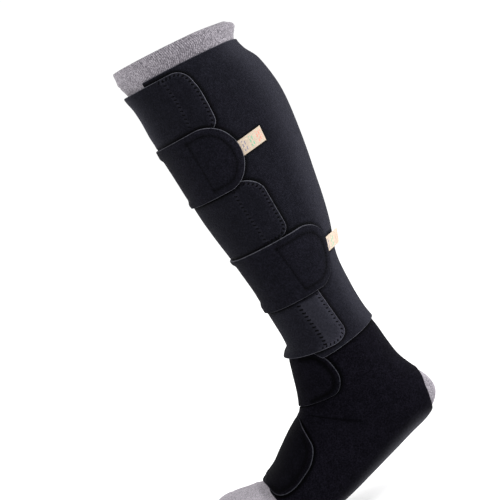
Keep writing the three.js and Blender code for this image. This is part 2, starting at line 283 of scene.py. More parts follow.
@dataclass(frozen=True)
class Laminate:
    """Cloth on foam: dark, matt and softly fuzzy, with a paler cut edge.

    It is darkened with painted shade where shade falls, beside edges that lie on it and in stitch grooves,
    and lightened with painted light where light falls. The fuzz and the grain are in sizes of a loop.
    """

    name: str
    deep: Colour
    raised: Colour
    edge: Colour
    loop: float
    depth: float
    sheen: float
    sheen_tint: Colour
    mottle: float = 0.009
    fuzz_share: float = 0.45
    grain_share: float = 2.2
    # The next two colours are painted shade and painted light, and the share after them is how much painted shade
    # is mixed in.
    painted_shade: Colour = (0.0002, 0.0002, 0.0004)
    painted_light: Colour = (0.0260, 0.0260, 0.0350)
    painted_shade_share: float = 0.95
    shine: float = 0.05
    sheen_roughness: float = 0.45

    def material(self) -> bpy.types.Material:
        """The finish as a material."""
        shader = Shader(self.name)
        loops = shader.loops(self.loop)
        fuzz = shader.speckle(self.loop * self.fuzz_share, detail=3.0)
        mottle = shader.speckle(self.mottle, detail=4.0)
        grain = shader.speckle(self.loop * self.grain_share)
        rim, pressed = shader.attribute("rim"), shader.attribute("pressed")
        height = (loops * 0.55 + fuzz * 0.6).step(0.35, 1.05)
        nap = (height * 0.5 + mottle * 0.35 + grain * 0.75).step(0.45, 1.15)
        cloth = shader.blend(nap, self.deep, self.raised)
        # Painted light: paler where the mesh's number is below 0.
        cloth = shader.blend((0 - pressed).most(0.0) * (0.4 + grain * 1.2), cloth, self.painted_light)
        # Painted shade: darker where the mesh's number is above 0.
        cloth = shader.blend(pressed.most(0.0) * self.painted_shade_share, cloth, self.painted_shade)
        worn = (rim * (0.1 + grain * 0.9 + mottle * 0.7)).step(0.3, 0.95)
        colour = shader.blend(worn, cloth, self.edge)
        roughness = 0.78 + fuzz * 0.2
        return shader.finish(colour, roughness, height, self.depth, Sheen_Weight=self.sheen,
                             Sheen_Roughness=self.sheen_roughness, Sheen_Tint=(*self.sheen_tint, 1.0),
                             Specular_IOR_Level=self.shine)


@dataclass(frozen=True)
class HeatherKnit:
    """Grey heather knit with fine ribs down the leg, pale and dark flecks, and painted light and shade."""

    name: str
    pale: Colour
    mid: Colour
    dark: Colour
    course: float
    # Shares of painted light towards the toe, of painted shade between the ribs, and of painted shade on the back
    # of the cuff and in the heel.
    knit_painted_light: float = 0.55
    rib_shade: float = 0.42
    knit_painted_shade: float = 0.35
    fleck: float = 0.0014
    long_fleck: float = 0.0011
    fleck_stretch: tuple[float, float, float] = (1.0, 1.0, 2.2)
    cloud: float = 0.012
    depth: float = 0.0003

    def material(self) -> bpy.types.Material:
        """The finish as a material."""
        shader = Shader(self.name)
        rib, wear = shader.attribute("rib"), shader.attribute("wear")
        _, down = shader.cloth_axes()
        course = (down * (math.tau / self.course)).sine() * 0.5 + 0.5
        flecks = shader.speckle(self.fleck)
        long_flecks = shader.speckle(self.long_fleck, stretch=self.fleck_stretch)
        cloud = shader.speckle(self.cloud)
        base = shader.blend((flecks * 0.9 + cloud * 0.2).step(0.36, 0.74), self.mid, self.pale)
        # Painted light: paler towards the toe.
        base = shader.blend(wear.most(0.0) * self.knit_painted_light, base, self.pale)
        # Painted shade: darker between the ribs, on the back of the cuff and in the heel.
        shade = (1 - rib) * self.rib_shade + (0 - wear).most(0.0) * self.knit_painted_shade
        colour = shader.blend(long_flecks.step(0.50, 0.66) * 0.45 + shade, base, self.dark)
        relief = (rib * 0.6 + course * 0.25 + flecks * 0.4).step(0.1, 1.1)
        return shader.finish(colour, 0.82 + flecks * 0.15, relief, self.depth, Sheen_Weight=0.25,
                             Sheen_Roughness=0.5, Specular_IOR_Level=0.2)


@dataclass(frozen=True)
class ColourBand:
    """A band of coloured bars across a ribbon, between two distances along it."""

    colour: Colour
    start: float
    end: float


@dataclass(frozen=True)
class Ribbon:
    """Woven cream ribbon with short bars of coloured thread.

    The weave's turn and the dashes' lean are in radians for each metre.
    """

    name: str
    ground: Colour
    shade: Colour
    bands: tuple[ColourBand, ...]
    bar: float
    margin: float
    width: float
    weave_turn: float = 9000.0
    grain: float = 0.0016
    dash: float = 0.0052
    dash_lean: float = 900.0
    band_soft: float = 0.0002
    bar_soft: float = 0.00015
    depth: float = 0.00012

    def material(self) -> bpy.types.Material:
        """The finish as a material."""
        shader = Shader(self.name)
        across, down = shader.cloth_axes()
        weave = (across * self.weave_turn).sine() * (down * self.weave_turn).sine() * 0.5 + 0.5
        grain = shader.speckle(self.grain, detail=3.0)
        colour = shader.blend((weave * 0.35 + grain * 0.6).step(0.25, 0.75), self.shade, self.ground)
        inside = down.between(self.margin, self.width - self.margin, self.band_soft)
        for band in self.bands:
            rows = (across - band.start).wrap(self.bar * 2.0).between(0.0, self.bar, self.bar_soft)
            dashes = (down * (math.tau / self.dash) + across * self.dash_lean).sine().step(-0.55, -0.15)
            shown = across.between(band.start, band.end, self.band_soft) * rows * inside * dashes
            colour = shader.blend(shown * (0.45 + grain * 0.5), colour, band.colour)
        return shader.finish(colour, 0.6 + weave * 0.15, weave, self.depth, Sheen_Weight=0.1,
                             Specular_IOR_Level=0.35)


@dataclass(frozen=True)
class Thread:
    """Twisted sewing thread."""

    name: str
    deep: Colour
    raised: Colour
    twist: float = 0.0004
    depth: float = 0.0001

    def material(self) -> bpy.types.Material:
        """The finish as a material."""
        shader = Shader(self.name)
        twist = shader.speckle(self.twist, detail=1.0)
        colour = shader.blend(twist.step(0.35, 0.65), self.deep, self.raised)
        return shader.finish(colour, 0.7 + twist * 0.2, twist, self.depth, Specular_IOR_Level=0.02)


@dataclass(frozen=True)
class HookTape:
    """Hook tape: rows of small stiff hooks on a black ground."""

    name: str
    ground: Colour
    tips: Colour
    pitch: float
    grain: float = 0.0007
    depth: float = 0.0004

    def material(self) -> bpy.types.Material:
        """The finish as a material."""
        shader = Shader(self.name)
        across, down = shader.cloth_axes()
        turn = math.tau / self.pitch
        hooks = ((across * turn).sine() * (down * turn).sine()).step(0.1, 0.8)
        grain = shader.speckle(self.grain)
        colour = shader.blend(hooks * 0.7 + grain * 0.2, self.ground, self.tips)
        return shader.finish(colour, 0.45 + grain * 0.3, hooks, self.depth, Specular_IOR_Level=0.4)


@dataclass(frozen=True)
class Plaster:
    """The studio's plain pale floor."""

    name: str
    pale: Colour
    shade: Colour
    glow: float
    cloud: float = 0.4
    depth: float = 0.0001

    def material(self) -> bpy.types.Material:
        """The finish as a material."""
        shader = Shader(self.name)
        cloud = shader.speckle(self.cloud)
        colour = shader.blend(cloud.step(0.2, 0.8), self.shade, self.pale)
        return shader.finish(colour, 0.9, cloud, self.depth, Specular_IOR_Level=0.1,
                             Emission_Color=(1.0, 1.0, 1.0, 1.0), Emission_Strength=self.glow)


CALF_CLOTH = Laminate("calf_loop_cloth", deep=(0.0025, 0.0025, 0.0045), raised=(0.0098, 0.0098, 0.0152),
                      edge=(0.070, 0.070, 0.084), loop=0.0009, depth=0.00045, sheen=0.02,
                      sheen_tint=(0.78, 0.80, 1.0))
STRAP_CLOTH = replace(CALF_CLOTH, name="strap_loop_cloth", deep=(0.0017, 0.0017, 0.0033),
                      raised=(0.0089, 0.0086, 0.0144), sheen=0.01)
# The foot cloth's pale colour for painted light brightens the sole's turn.
FOOT_CLOTH = Laminate("foot_smooth_cloth", deep=(0.0007, 0.0006, 0.0014), raised=(0.0061, 0.0055, 0.0095),
                      edge=(0.027, 0.027, 0.034), loop=0.0008, depth=0.00022, sheen=0.005,
                      sheen_tint=(0.85, 0.85, 1.0), painted_light=(0.080, 0.080, 0.092), shine=0.025)
SOCK_KNIT = HeatherKnit("heather_knit", pale=(0.43, 0.40, 0.44), mid=(0.15, 0.135, 0.155),
                        dark=(0.05, 0.045, 0.055), course=0.0012)
LABEL_RIBBON = Ribbon("label_ribbon", ground=(0.46, 0.38, 0.30), shade=(0.35, 0.28, 0.21),
                      bands=(ColourBand((0.10, 0.11, 0.20), 0.0060, 0.0104),
                             ColourBand((0.05, 0.34, 0.20), 0.0132, 0.0176),
                             ColourBand((0.62, 0.16, 0.12), 0.0204, 0.0254)),
                      bar=0.0011, margin=0.0020, width=0.0145)
SEWING_THREAD = Thread("black_thread", deep=(0.0008, 0.0008, 0.0010), raised=(0.0022, 0.0022, 0.0026))
HOOKS = HookTape("hook_tape", ground=(0.004, 0.004, 0.005), tips=(0.02, 0.02, 0.024), pitch=0.0024)
FLOOR = Plaster("studio_floor", pale=(0.72, 0.72, 0.72), shade=(0.70, 0.70, 0.70), glow=0.36)


# The form of the leg.


def ramp(value: Array, low: float, high: float) -> Array:
    """A smooth step from 0 at the low number to 1 at the high one."""
    share = np.clip((np.asarray(value, float) - low) / (high - low), 0.0, 1.0)
    return share * share * (3.0 - 2.0 * share)


def hump(value: Array, middle: float, width: float) -> Array:
    """A smooth hump of height 1 with a middle and a width."""
    return np.exp(-(((np.asarray(value, float) - middle) / width) ** 2))


def signed_power(number: Array, power: Array) -> Array:
    """A power that keeps its number's sign."""
    return np.sign(number) * np.abs(number) ** power


@dataclass(frozen=True)
class Station:
    """A section through the leg or foot, in the plane of its front and back points and of the X axis."""

    along: float
    front_y: float
    front_z: float
    back_y: float
    back_z: float
    half: float
    shift: float
    front_round: float
    back_round: float


# Each row has its values in the order of the names above: two lengths for the front, two for the back.
STATIONS = tuple(Station(*row) for row in (
    (-24, -59, 24, 64.5, 16, 54, 0, 2, 2.1),
    (-10, -58, 11.5, 68, 6, 55.5, 0, 2, 2.1),
    (0, -57, 2.5, 61, -4, 55.5, 0, 2, 2.1),
    (14, -55.5, -12.5, 63, -17, 56.5, 0, 2, 2.1),
    (32, -54.5, -31, 71, -33, 58, -1, 2, 2.1),
    (65, -55.3, -65, 75.8, -65, 59.5, -2, 2, 2.1),
    (100, -54, -100, 73.4, -100, 58, -2, 2, 2.1),
    (150, -51.5, -150, 65, -150, 52.5, -2, 2, 2.1),
    (200, -45.4, -200, 54.6, -200, 45.5, -1, 2, 2.1),
    (240, -41.5, -240, 41.3, -240, 39.5, 0, 2, 2.1),
    (270, -38.5, -270, 37.1, -270, 36.5, 0, 2, 2.1),
    (298, -38.8, -297, 37.6, -299, 35.5, 0, 2, 2.1),
    (320, -45, -315, 41.5, -322, 36.5, 0, 2, 2.1),
    (340, -49.5, -332, 43.5, -342, 37, 0, 2, 2.1),
    (357, -53.5, -345.5, 46.5, -361, 36.5, 0, 2, 2.2),
    (372, -57, -355, 53.5, -378, 36, 0, 2, 2.2),
    (384, -60, -361, 61.3, -393.3, 36, 0, 2, 2.3),
    (396, -63.5, -365.5, 62.2, -410, 36, 0, 2, 2.4),
    (408, -67.5, -369.5, 48, -424.5, 36, 0, 2, 2.5),
    (424, -74.3, -373.4, 19.8, -432.9, 36, 0, 2.1, 2.7),
    (446, -86.2, -381, -16, -443, 38.5, -1, 2.1, 2.9),
    (470, -100.3, -391.3, -52, -452.9, 42, -2, 2.1, 3),
    (496, -114, -401.5, -91, -462.2, 45, -3, 2.1, 3),
    (520, -128.5, -407.5, -124, -470.2, 47, -4, 2.1, 3),
    (542, -147, -407.5, -148, -465, 47.5, -5, 2.1, 2.7),
    (564, -166, -403, -171, -449, 44, -7, 2.1, 2.4),
    (582, -182, -404, -188, -435, 35, -9, 2.1, 2.2),
    (594, -191, -409, -195, -424, 18, -10, 2, 2),
))


@dataclass(frozen=True)
class LegForm:
    """The outer face of the liner sock, on smooth curves through the stations."""

    stations: tuple[Station, ...] = STATIONS
    reach: float = 0.5

    def section(self, along: Array) -> dict[str, Array]:
        """The section at any height.

        Args:
            along: heights down the leg.

        Returns:
            The station's values at those heights, by name.
        """
        rows = np.array([astuple(station) for station in self.stations], float)
        along = np.asarray(along, float)
        last = len(rows) - 1
        place = np.clip(np.searchsorted(rows[:, 0], along, side="right") - 1, 0, last - 1)
        before, start, end, after = (rows[np.clip(place + offset, 0, last)] for offset in (-1, 0, 1, 2))
        span = end[..., :1] - start[..., :1]
        share = (along[..., None] - start[..., :1]) / span
        slope_from = (end - before) / (end[..., :1] - before[..., :1]) * span
        slope_to = (after - start) / (after[..., :1] - start[..., :1]) * span
        bend = 2.0 * (start - end) + slope_from + slope_to
        values = start + share * (slope_from + share * (end - start - slope_from - bend + share * bend))
        return dict(zip(Station.__dataclass_fields__, np.moveaxis(values, -1, 0)))

    def point(self, along: Array, angle: Array) -> Array:
        """Points of the sock's outer face.

        Args:
            along: heights down the leg.
            angle: angles round it.

        Returns:
            Points in millimetres, in the last axis.
        """
        along, angle = np.broadcast_arrays(np.asarray(along, float), np.asarray(angle, float))
        section = self.section(along)
        turn = np.radians(angle)
        forward = np.cos(turn)
        power = 2.0 / np.where(forward > 0, section["front_round"], section["back_round"])
        share = (1.0 - signed_power(forward, power)) / 2.0
        x = section["shift"] + section["half"] * signed_power(np.sin(turn), power)
        y = section["front_y"] + (section["back_y"] - section["front_y"]) * share
        z = section["front_z"] + (section["back_z"] - section["front_z"]) * share
        return np.stack([x, y, z], axis=-1)

    def normal(self, along: Array, angle: Array) -> Array:
        """Outward normals at heights along and angles round the leg."""
        down = self.point(along + self.reach, angle) - self.point(along - self.reach, angle)
        round_leg = self.point(along, angle + self.reach) - self.point(along, angle - self.reach)
        normal = np.cross(down, round_leg)
        return normal / np.linalg.norm(normal, axis=-1, keepdims=True)

    def off(self, along: Array, angle: Array, height: Array | float) -> Array:
        """Points at a height off the sock's outer face.

        Args:
            along: heights down the leg.
            angle: angles round it.
            height: distances from the face along its normal.

        Returns:
            Points in millimetres, in the last axis.
        """
        along, angle = np.broadcast_arrays(np.asarray(along, float), np.asarray(angle, float))
        height = np.broadcast_to(np.asarray(height, float), along.shape)
        return self.point(along, angle) + self.normal(along, angle) * height[..., None]

    def girth_per_degree(self, along: float) -> float:
        """Millimetres of girth in one degree round the leg."""
        section = self.section(np.array(along))
        depth = np.hypot(section["back_y"] - section["front_y"], section["back_z"] - section["front_z"]) / 2.0
        return float(np.radians((section["half"] + depth) / 2.0))


FORM = LegForm()


@dataclass(frozen=True)
class Layers:
    """Thicknesses of the cloths, and the clearance between one layer and the next."""

    gap: float = 0.35
    ease: float = 0.45
    knit: float = 1.3
    calf_foam: float = 2.6
    foot_foam: float = 2.4
    hook: float = 1.0
    ribbon: float = 0.4

    @property
    def calf(self) -> float:
        """The rise from one calf layer to the next."""
        return self.calf_foam + self.gap

    @property
    def foot(self) -> float:
        """The rise from one foot layer to the next."""
        return self.foot_foam + self.gap

    @property
    def patch(self) -> float:
        """The rise over a hook patch."""
        return self.hook + self.gap


LAYERS = Layers()


# Meshes.


def make_object(name: str, points: Array, faces: Sequence[Sequence[int]], finish: bpy.types.Material,
                numbers: dict[str, Array] | None = None, flat: Array | None = None) -> bpy.types.Object:
    """Makes a smooth-shaded mesh object.

    Args:
        name: the object's name.
        points: vertices in millimetres.
        faces: vertex numbers of each face.
        finish: the material.
        numbers: values that the shader reads at each vertex, by name.
        flat: the place of each vertex on the flat cloth, in millimetres.

    Returns:
        The object, linked to the scene.
    """
    mesh = bpy.data.meshes.new(name)
    mesh.from_pydata((np.asarray(points) * MM).tolist(), [], [list(map(int, face)) for face in faces])
    mesh.update()
    mesh.polygons.foreach_set("use_smooth", np.ones(len(mesh.polygons), bool))
    for key, values in (numbers or {}).items():
        held = mesh.attributes.new(key, "FLOAT", "POINT")
        held.data.foreach_set("value", np.asarray(values, np.float32))
    if flat is not None:
        corners = np.zeros(len(mesh.loops), np.int32)
        mesh.loops.foreach_get("vertex_index", corners)
        layer = mesh.uv_layers.new(name="flat")
        layer.data.foreach_set("uv", (np.asarray(flat)[corners] * MM).astype(np.float32).ravel())
    mesh.materials.append(finish)
    made = bpy.data.objects.new(name, mesh)
    bpy.context.scene.collection.objects.link(made)
    return made


def nearest(points: Array, marks: Array) -> Array:
    """Distances from points to the nearest of many marks.

    Args:
        points: the points.
        marks: closely spaced points of a line.

    Returns:
        One distance for each point.
    """
    tree = kdtree.KDTree(len(marks))
    for number, mark in enumerate(marks):
        tree.insert(mark, number)
    tree.balance()
    flat = points.reshape(-1, 3)
    found = np.fromiter((tree.find(point)[2] for point in flat), float, len(flat))
    return found.reshape(points.shape[:-1])


def soft_noise(points: Array, size: float, seed: float) -> Array:
    """A smooth noise over points.

    Args:
        points: points in millimetres.
        size: the size of its waves in millimetres.
        seed: moves the noise, so that pieces differ.

    Returns:
        Values from about -1 to 1.
    """
    flat = points.reshape(-1, 3) / size + seed
    values = np.fromiter((noise.noise(Vector(point)) for point in flat), float, len(flat))
    return values.reshape(points.shape[:-1])


def level(height: float) -> Field:
    """A field that has the same height everywhere."""
    return lambda along, angle: np.full(np.broadcast(along, angle).shape, height)


@dataclass(frozen=True)
class Ripple:
    """Slight swells and hollows of a cloth, of a height and a wave length."""

    height: float
    wave: float
    seed: float

    def around(self, along: Array, angle: Array) -> Array:
        """Swells and hollows on both sides of the cloth's level."""
        return self.height * soft_noise(FORM.point(along, angle), self.wave, self.seed)

    def above(self, along: Array, angle: Array) -> Array:
        """Swells that stay above the cloth's level."""
        return self.height + self.around(along, angle)


@dataclass(frozen=True)
class StitchStyle:
    """How a line is sewn: its stitch, the radius of its thread, and the groove that it pulls into the cloth.

    Painted shade darkens the groove where its share is above 0, and painted light brightens it where below.
    """

    kind: Stitch
    pitch: float = 4.0
    width: float = 3.0
    groove: float = 0.35
    groove_width: float = 1.6
    thread: float = 0.42
    painted_shade_share: float = 0.35

    @property
    def spacing(self) -> float:
        """The distance along the line from one needle hole to the next."""
        return self.pitch / 2.0 if self.kind is Stitch.ZIGZAG else self.pitch


ROOT_SEAM = StitchStyle(Stitch.ZIGZAG)
FOOT_PATCH_SEAM = StitchStyle(Stitch.RUNNING, pitch=3.2, groove_width=2.4, thread=0.22)
# The tab seams paint light beside their stitches, and the other seams paint shade in their grooves.
TAB_EDGE_SEAM = StitchStyle(Stitch.ZIGZAG, pitch=4.2, width=3.2, groove=0.2, groove_width=1.8, painted_shade_share=-0.4)
TAB_CROSS_SEAM = replace(TAB_EDGE_SEAM, groove_width=2.8, painted_shade_share=-0.3)
STRAP_PATCH_SEAM = StitchStyle(Stitch.RUNNING, pitch=3.0, groove=0.6, groove_width=1.9, thread=0.24,
                               painted_shade_share=0.65)
STRAP_BACK_SEAM = replace(STRAP_PATCH_SEAM, groove=0.3, groove_width=1.4, painted_shade_share=0.45)


@dataclass(frozen=True)
class StitchLine:
    """A line of stitches on a cloth piece, as a path of angles and heights."""

    style: StitchStyle
    angles: Array
    alongs: Array

    def marks(self, height: Field, spacing: float = 0.4) -> tuple[Array, Array]:
        """Evenly spaced angles and heights of the path.

        Args:
            height: the height of the cloth off the sock.
            spacing: the distance between two marks.

        Returns:
            Heights down the leg, and angles.
        """
        points = FORM.off(self.alongs, self.angles, height(self.alongs, self.angles))
        run = np.concatenate([[0.0], np.cumsum(np.linalg.norm(np.diff(points, axis=0), axis=1))])
        places = np.linspace(0.0, run[-1], max(int(round(run[-1] / spacing)), 2) + 1)
        return np.interp(places, run, self.alongs), np.interp(places, run, self.angles)


@dataclass
class ThreadMesh:
    """The threads of many stitches in one mesh.

    A stitch's arch and how deep it sinks are in radii of its thread, and its hole is a share of its length.
    """

    sides: int = 6
    shares: tuple[float, ...] = (0.0, 0.1, 0.24, 0.5, 0.76, 0.9, 1.0)
    arch: float = 1.7
    sink: float = 1.2
    hole: float = 0.12
    points: list[Array] = field(default_factory=list)
    faces: list[list[int]] = field(default_factory=list)
    count: int = 0

    def sew(self, line: StitchLine, height: Field) -> None:
        """Sews one line. Every second stroke of a zigzag lies on the cloth's other face and is left out.

        Args:
            line: the line of stitches.
            height: the height of the cloth's outer face off the sock.
        """
        style = line.style
        along, angle = line.marks(height, style.spacing)
        points = FORM.off(along, angle, height(along, angle))
        normals = FORM.normal(along, angle)
        run = np.gradient(points, axis=0)
        run /= np.linalg.norm(run, axis=1, keepdims=True)
        every = 1
        if style.kind is Stitch.ZIGZAG:
            every = 2
            side = np.where(np.arange(len(points)) % 2, 0.5, -0.5) * style.width
            points = points + np.cross(normals, run) * side[:, None]
        strokes = np.diff(points, axis=0)
        starts = points[:-1] + strokes * self.hole
        ends = points[1:] - strokes * self.hole
        ups = (normals[:-1] + normals[1:]) / 2.0
        self._tubes(starts[::every], ends[::every], ups[::every], style.thread)

    def _tubes(self, starts: Array, ends: Array, ups: Array, radius: float) -> None:
        """Adds one arched, closed tube for each stitch.

        Args:
            starts: where the threads come up.
            ends: where they go down again.
            ups: the cloth's normals.
            radius: the thread's radius.
        """
        shares = np.array(self.shares)
        arch = radius * (self.arch * (1.0 - (2.0 * shares - 1.0) ** 4) - self.sink)
        runs = ends - starts
        runs_unit = runs / np.linalg.norm(runs, axis=1, keepdims=True)
        sides = np.cross(runs_unit, ups)
        sides /= np.linalg.norm(sides, axis=1, keepdims=True)
        ups = np.cross(sides, runs_unit)
        turns = np.linspace(0.0, math.tau, self.sides, endpoint=False)
        middle = starts[:, None] + runs[:, None] * shares[:, None] + ups[:, None] * arch[:, None]
        ring = (sides[:, None] * np.cos(turns)[:, None] + ups[:, None] * np.sin(turns)[:, None]) * radius
        tubes = middle[:, :, None] + ring[:, None]
        rings, size = len(shares), self.sides
        for number in range(len(starts)):
            base = self.count + number * rings * size
            for row in range(rings - 1):
                for turn in range(size):
                    low, next_low = base + row * size + turn, base + row * size + (turn + 1) % size
                    self.faces.append([low, next_low, next_low + size, low + size])
            self.faces.append(list(range(base + size - 1, base - 1, -1)))
            self.faces.append(list(range(base + (rings - 1) * size, base + rings * size)))
        self.points.append(tubes.reshape(-1, 3))
        self.count += tubes.shape[0] * rings * size

    def build(self, name: str, finish: bpy.types.Material) -> bpy.types.Object:
        """Makes the object of all threads sewn so far."""
        return make_object(name, np.concatenate(self.points), self.faces, finish)


@dataclass
class Cloth:
    """A piece of cloth round the leg, cut from a grid by its outline and given thickness and rounded rims.

    The grid is split along lines at the levels inside the outline, so that the rims are smooth. The slant is
    how far the piece climbs from its start to its end.
    """

    name: str
    span: tuple[float, float]
    reach: tuple[float, float]
    inside: Field
    under: Field
    thickness: float
    step: float = 1.6
    edge_round: float = 1.0
    inner_round: float = 0.3
    lines: list[StitchLine] = field(default_factory=list)
    relief: Field = level(0.0)
    squeezed: Field = level(0.0)
    # Painted shade where this is above 0, and painted light where it is below.
    painted_shade: Field = level(0.0)
    slant: float = 0.0
    levels: tuple[float, ...] = (1.3, 0.8, 0.35, 0.0)
    snap: float = 0.06
    spare: float = 1.1
    rim: tuple[float, float] = (0.15, 0.9)
    marks_per_edge: int = 12
    size_steps: int = 60

    def __post_init__(self) -> None:
        """Cuts the flat piece, and notes the marks of its edge and stitch lines."""
        self.per_degree = FORM.girth_per_degree((self.reach[0] + self.reach[1]) / 2.0)
        self.flat, self.faces, self.edges = self._cut()
        ends = self.flat[np.array(self.edges)]
        shares = np.linspace(0.0, 1.0, self.marks_per_edge, endpoint=False)[:, None, None]
        marks = (ends[None, :, 0] * (1 - shares) + ends[None, :, 1] * shares).reshape(-1, 2)
        self.edge_marks = self._middle(marks[:, 1], marks[:, 0])
        self.line_marks = [self._middle(*line.marks(self._mid_height)) for line in self.lines]

    def _mid_height(self, along: Array, angle: Array) -> Array:
        """The height of the middle of the cloth off the sock."""
        return self.under(along, angle) + self.thickness / 2.0

    def _middle(self, along: Array, angle: Array) -> Array:
        """Points in the middle of the cloth's thickness."""
        return FORM.off(along, angle, self._mid_height(along, angle))

    def _cut(self) -> tuple[Array, list[list[int]], list[list[int]]]:
        """Cuts the piece from a flat grid whose X is the angle and whose Y is the height.

        Returns:
            Flat vertices, faces, and the edges of the outline in their faces' direction.
        """
        spare, step = self.spare / self.per_degree, self.step / self.per_degree
        angles = np.arange(self.span[0] - spare, self.span[1] + spare + TINY, step)
        alongs = np.arange(self.reach[0] - self.spare, self.reach[1] + self.spare + self.step, self.step)
        mesh = bmesh.new()
        verts = [[mesh.verts.new((angle, along, 0.0)) for angle in angles] for along in alongs]
        for row in range(len(alongs) - 1):
            for column in range(len(angles) - 1):
                mesh.faces.new((verts[row][column], verts[row + 1][column],
                                verts[row + 1][column + 1], verts[row][column + 1]))
        for distance in self.levels:
            self._split(mesh, distance)
        mesh.faces.ensure_lookup_table()
        middles = np.array([face.calc_center_median()[:2] for face in mesh.faces])
        keep = self.inside(middles[:, 1], middles[:, 0]) > 0.0
        waste = [face for face, kept in zip(mesh.faces, keep) if not kept]
        bmesh.ops.delete(mesh, geom=waste, context="FACES")
        mesh.verts.index_update()
        flat = np.array([vert.co[:2] for vert in mesh.verts])
        faces = [[vert.index for vert in face.verts] for face in mesh.faces]
        edges = [[loop.vert.index, loop.link_loop_next.vert.index]
                 for face in mesh.faces for loop in face.loops if len(loop.edge.link_faces) == 1]
        mesh.free()
        return flat, faces, edges

    def _split(self, mesh: bmesh.types.BMesh, distance: float) -> None:
        """Splits the grid along the line that lies a distance inside the outline.

        Args:
            mesh: the flat grid.
            distance: how far inside.
        """
        mesh.verts.ensure_lookup_table()
        mesh.verts.index_update()
        flat = np.array([vert.co[:2] for vert in mesh.verts])
        depth = self.inside(flat[:, 1], flat[:, 0]) - distance
        depth[np.abs(depth) < self.snap] = 0.0
        on_line = [vert for vert, value in zip(mesh.verts, depth) if value == 0.0]
        crossing = [(edge, depth[edge.verts[0].index], depth[edge.verts[1].index]) for edge in mesh.edges]
        for edge, first, second in crossing:
            if first * second < 0.0:
                _, made = bmesh.utils.edge_split(edge, edge.verts[0], first / (first - second))
                on_line.append(made)
        bmesh.ops.connect_verts(mesh, verts=on_line)

    def top(self, along: Array, angle: Array) -> Array:
        """The height of the outer face off the sock.

        Args:
            along: heights down the leg.
            angle: angles round it.

        Returns:
            Heights in millimetres.
        """
        middle = self._middle(along, angle)
        from_edge = np.minimum(nearest(middle, self.edge_marks), self.edge_round)
        turned = self.edge_round - np.sqrt(self.edge_round ** 2 - (self.edge_round - from_edge) ** 2)
        height = self.under(along, angle) + self.thickness - turned
        for line, marks in zip(self.lines, self.line_marks):
            beside = hump(nearest(middle, marks), 0.0, line.style.groove_width)
            height = height - line.style.groove * beside
        return height - self.squeezed(along, angle) + self.relief(along, angle)

    def bottom(self, along: Array, angle: Array) -> Array:
        """The height of the inner face off the sock, at heights along and angles round the leg."""
        from_edge = np.minimum(nearest(self._middle(along, angle), self.edge_marks), self.inner_round)
        lift = np.maximum(self.relief(along, angle), 0.0)
        return self.under(along, angle) + self.inner_round - from_edge + lift

    def build(self, finish: bpy.types.Material) -> bpy.types.Object:
        """Makes the piece as a closed mesh."""
        angle, along = self.flat[:, 0], self.flat[:, 1]
        outer = FORM.off(along, angle, self.top(along, angle))
        inner = FORM.off(along, angle, self.bottom(along, angle))
        count = len(outer)
        faces = list(self.faces)
        faces += [[count + number for number in reversed(face)] for face in self.faces]
        faces += [[second, first, count + first, count + second] for first, second in self.edges]
        middle = self._middle(along, angle)
        rim = 1.0 - ramp(nearest(middle, self.edge_marks), *self.rim)
        # Painted light and shade: the piece's own, and the painted shade or light beside its stitch lines.
        pressed = self.painted_shade(along, angle)
        for line, marks in zip(self.lines, self.line_marks):
            beside = hump(nearest(middle, marks), 0.0, line.style.groove_width)
            pressed = pressed + line.style.painted_shade_share * beside
        from_start = angle - self.span[0]
        climb = self.slant * (from_start / (self.span[1] - self.span[0]) - 1.0)
        flat = np.stack([from_start * self.per_degree, along - self.reach[0] + climb], axis=1)
        return make_object(self.name, np.concatenate([outer, inner]), faces, finish,
                           {"rim": np.tile(rim, 2), "pressed": np.tile(pressed, 2)}, np.tile(flat, (2, 1)))

    def sew(self, finish: bpy.types.Material) -> list[bpy.types.Object]:
        """Sews the stitch lines of the piece.

        Args:
            finish: the thread's material.

        Returns:
            One object of threads, or none where the piece has no stitches.
        """
        if not self.lines:
            return []
        threads = ThreadMesh()
        for line in self.lines:
            threads.sew(line, self.top)
        return [threads.build(f"{self.name}_stitches", finish)]

    def cut_size(self) -> tuple[tuple[float, float], float]:
        """The size of the flat cut.

        Returns:
            Its width round the leg and its length down it, and its area, in metres and square metres.
        """
        points = self._middle(self.flat[:, 1], self.flat[:, 0])
        area = 0.0
        for face in self.faces:
            corners = points[face]
            spokes = corners[1:] - corners[0]
            area += np.linalg.norm(np.cross(spokes[:-1], spokes[1:]), axis=1).sum() / 2.0
        angles = np.linspace(*self.span, self.size_steps)
        alongs = np.linspace(*self.reach, self.size_steps)
        grid = self._middle(alongs[:, None], angles[None, :])
        width = np.linalg.norm(np.diff(grid, axis=1), axis=2).sum(axis=1).max()
        length = np.linalg.norm(np.diff(grid, axis=0), axis=2).sum(axis=0).max()
        size = tuple(max(float(side), LEAST_CUT) * MM for side in (width, length))
        return size, float(area) * MM * MM


def fit(piece: bpy.types.Object, node: str, cut: tuple[tuple[float, float], float],
        trimmings: Sequence[bpy.types.Object] = ()) -> None:
    """Fits a cloth piece to the frame in place of its solid.

    Args:
        piece: the cloth.
        node: the solid that it stands for.
        cut: the flat size and area.
        trimmings: its stitches.
    """
    size, area = cut
    parts = (piece, *trimmings)
    for part in parts:
        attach(part, BODY)
    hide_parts(node)
    min(area, size[0] * size[1])
    triangles = sum(len(part.data.loops) - 2 * len(part.data.polygons) for part in parts)
    LOG.info("%s: cut %.0f x %.0f mm, %d triangles", piece.name, size[0] / MM, size[1] / MM, triangles)


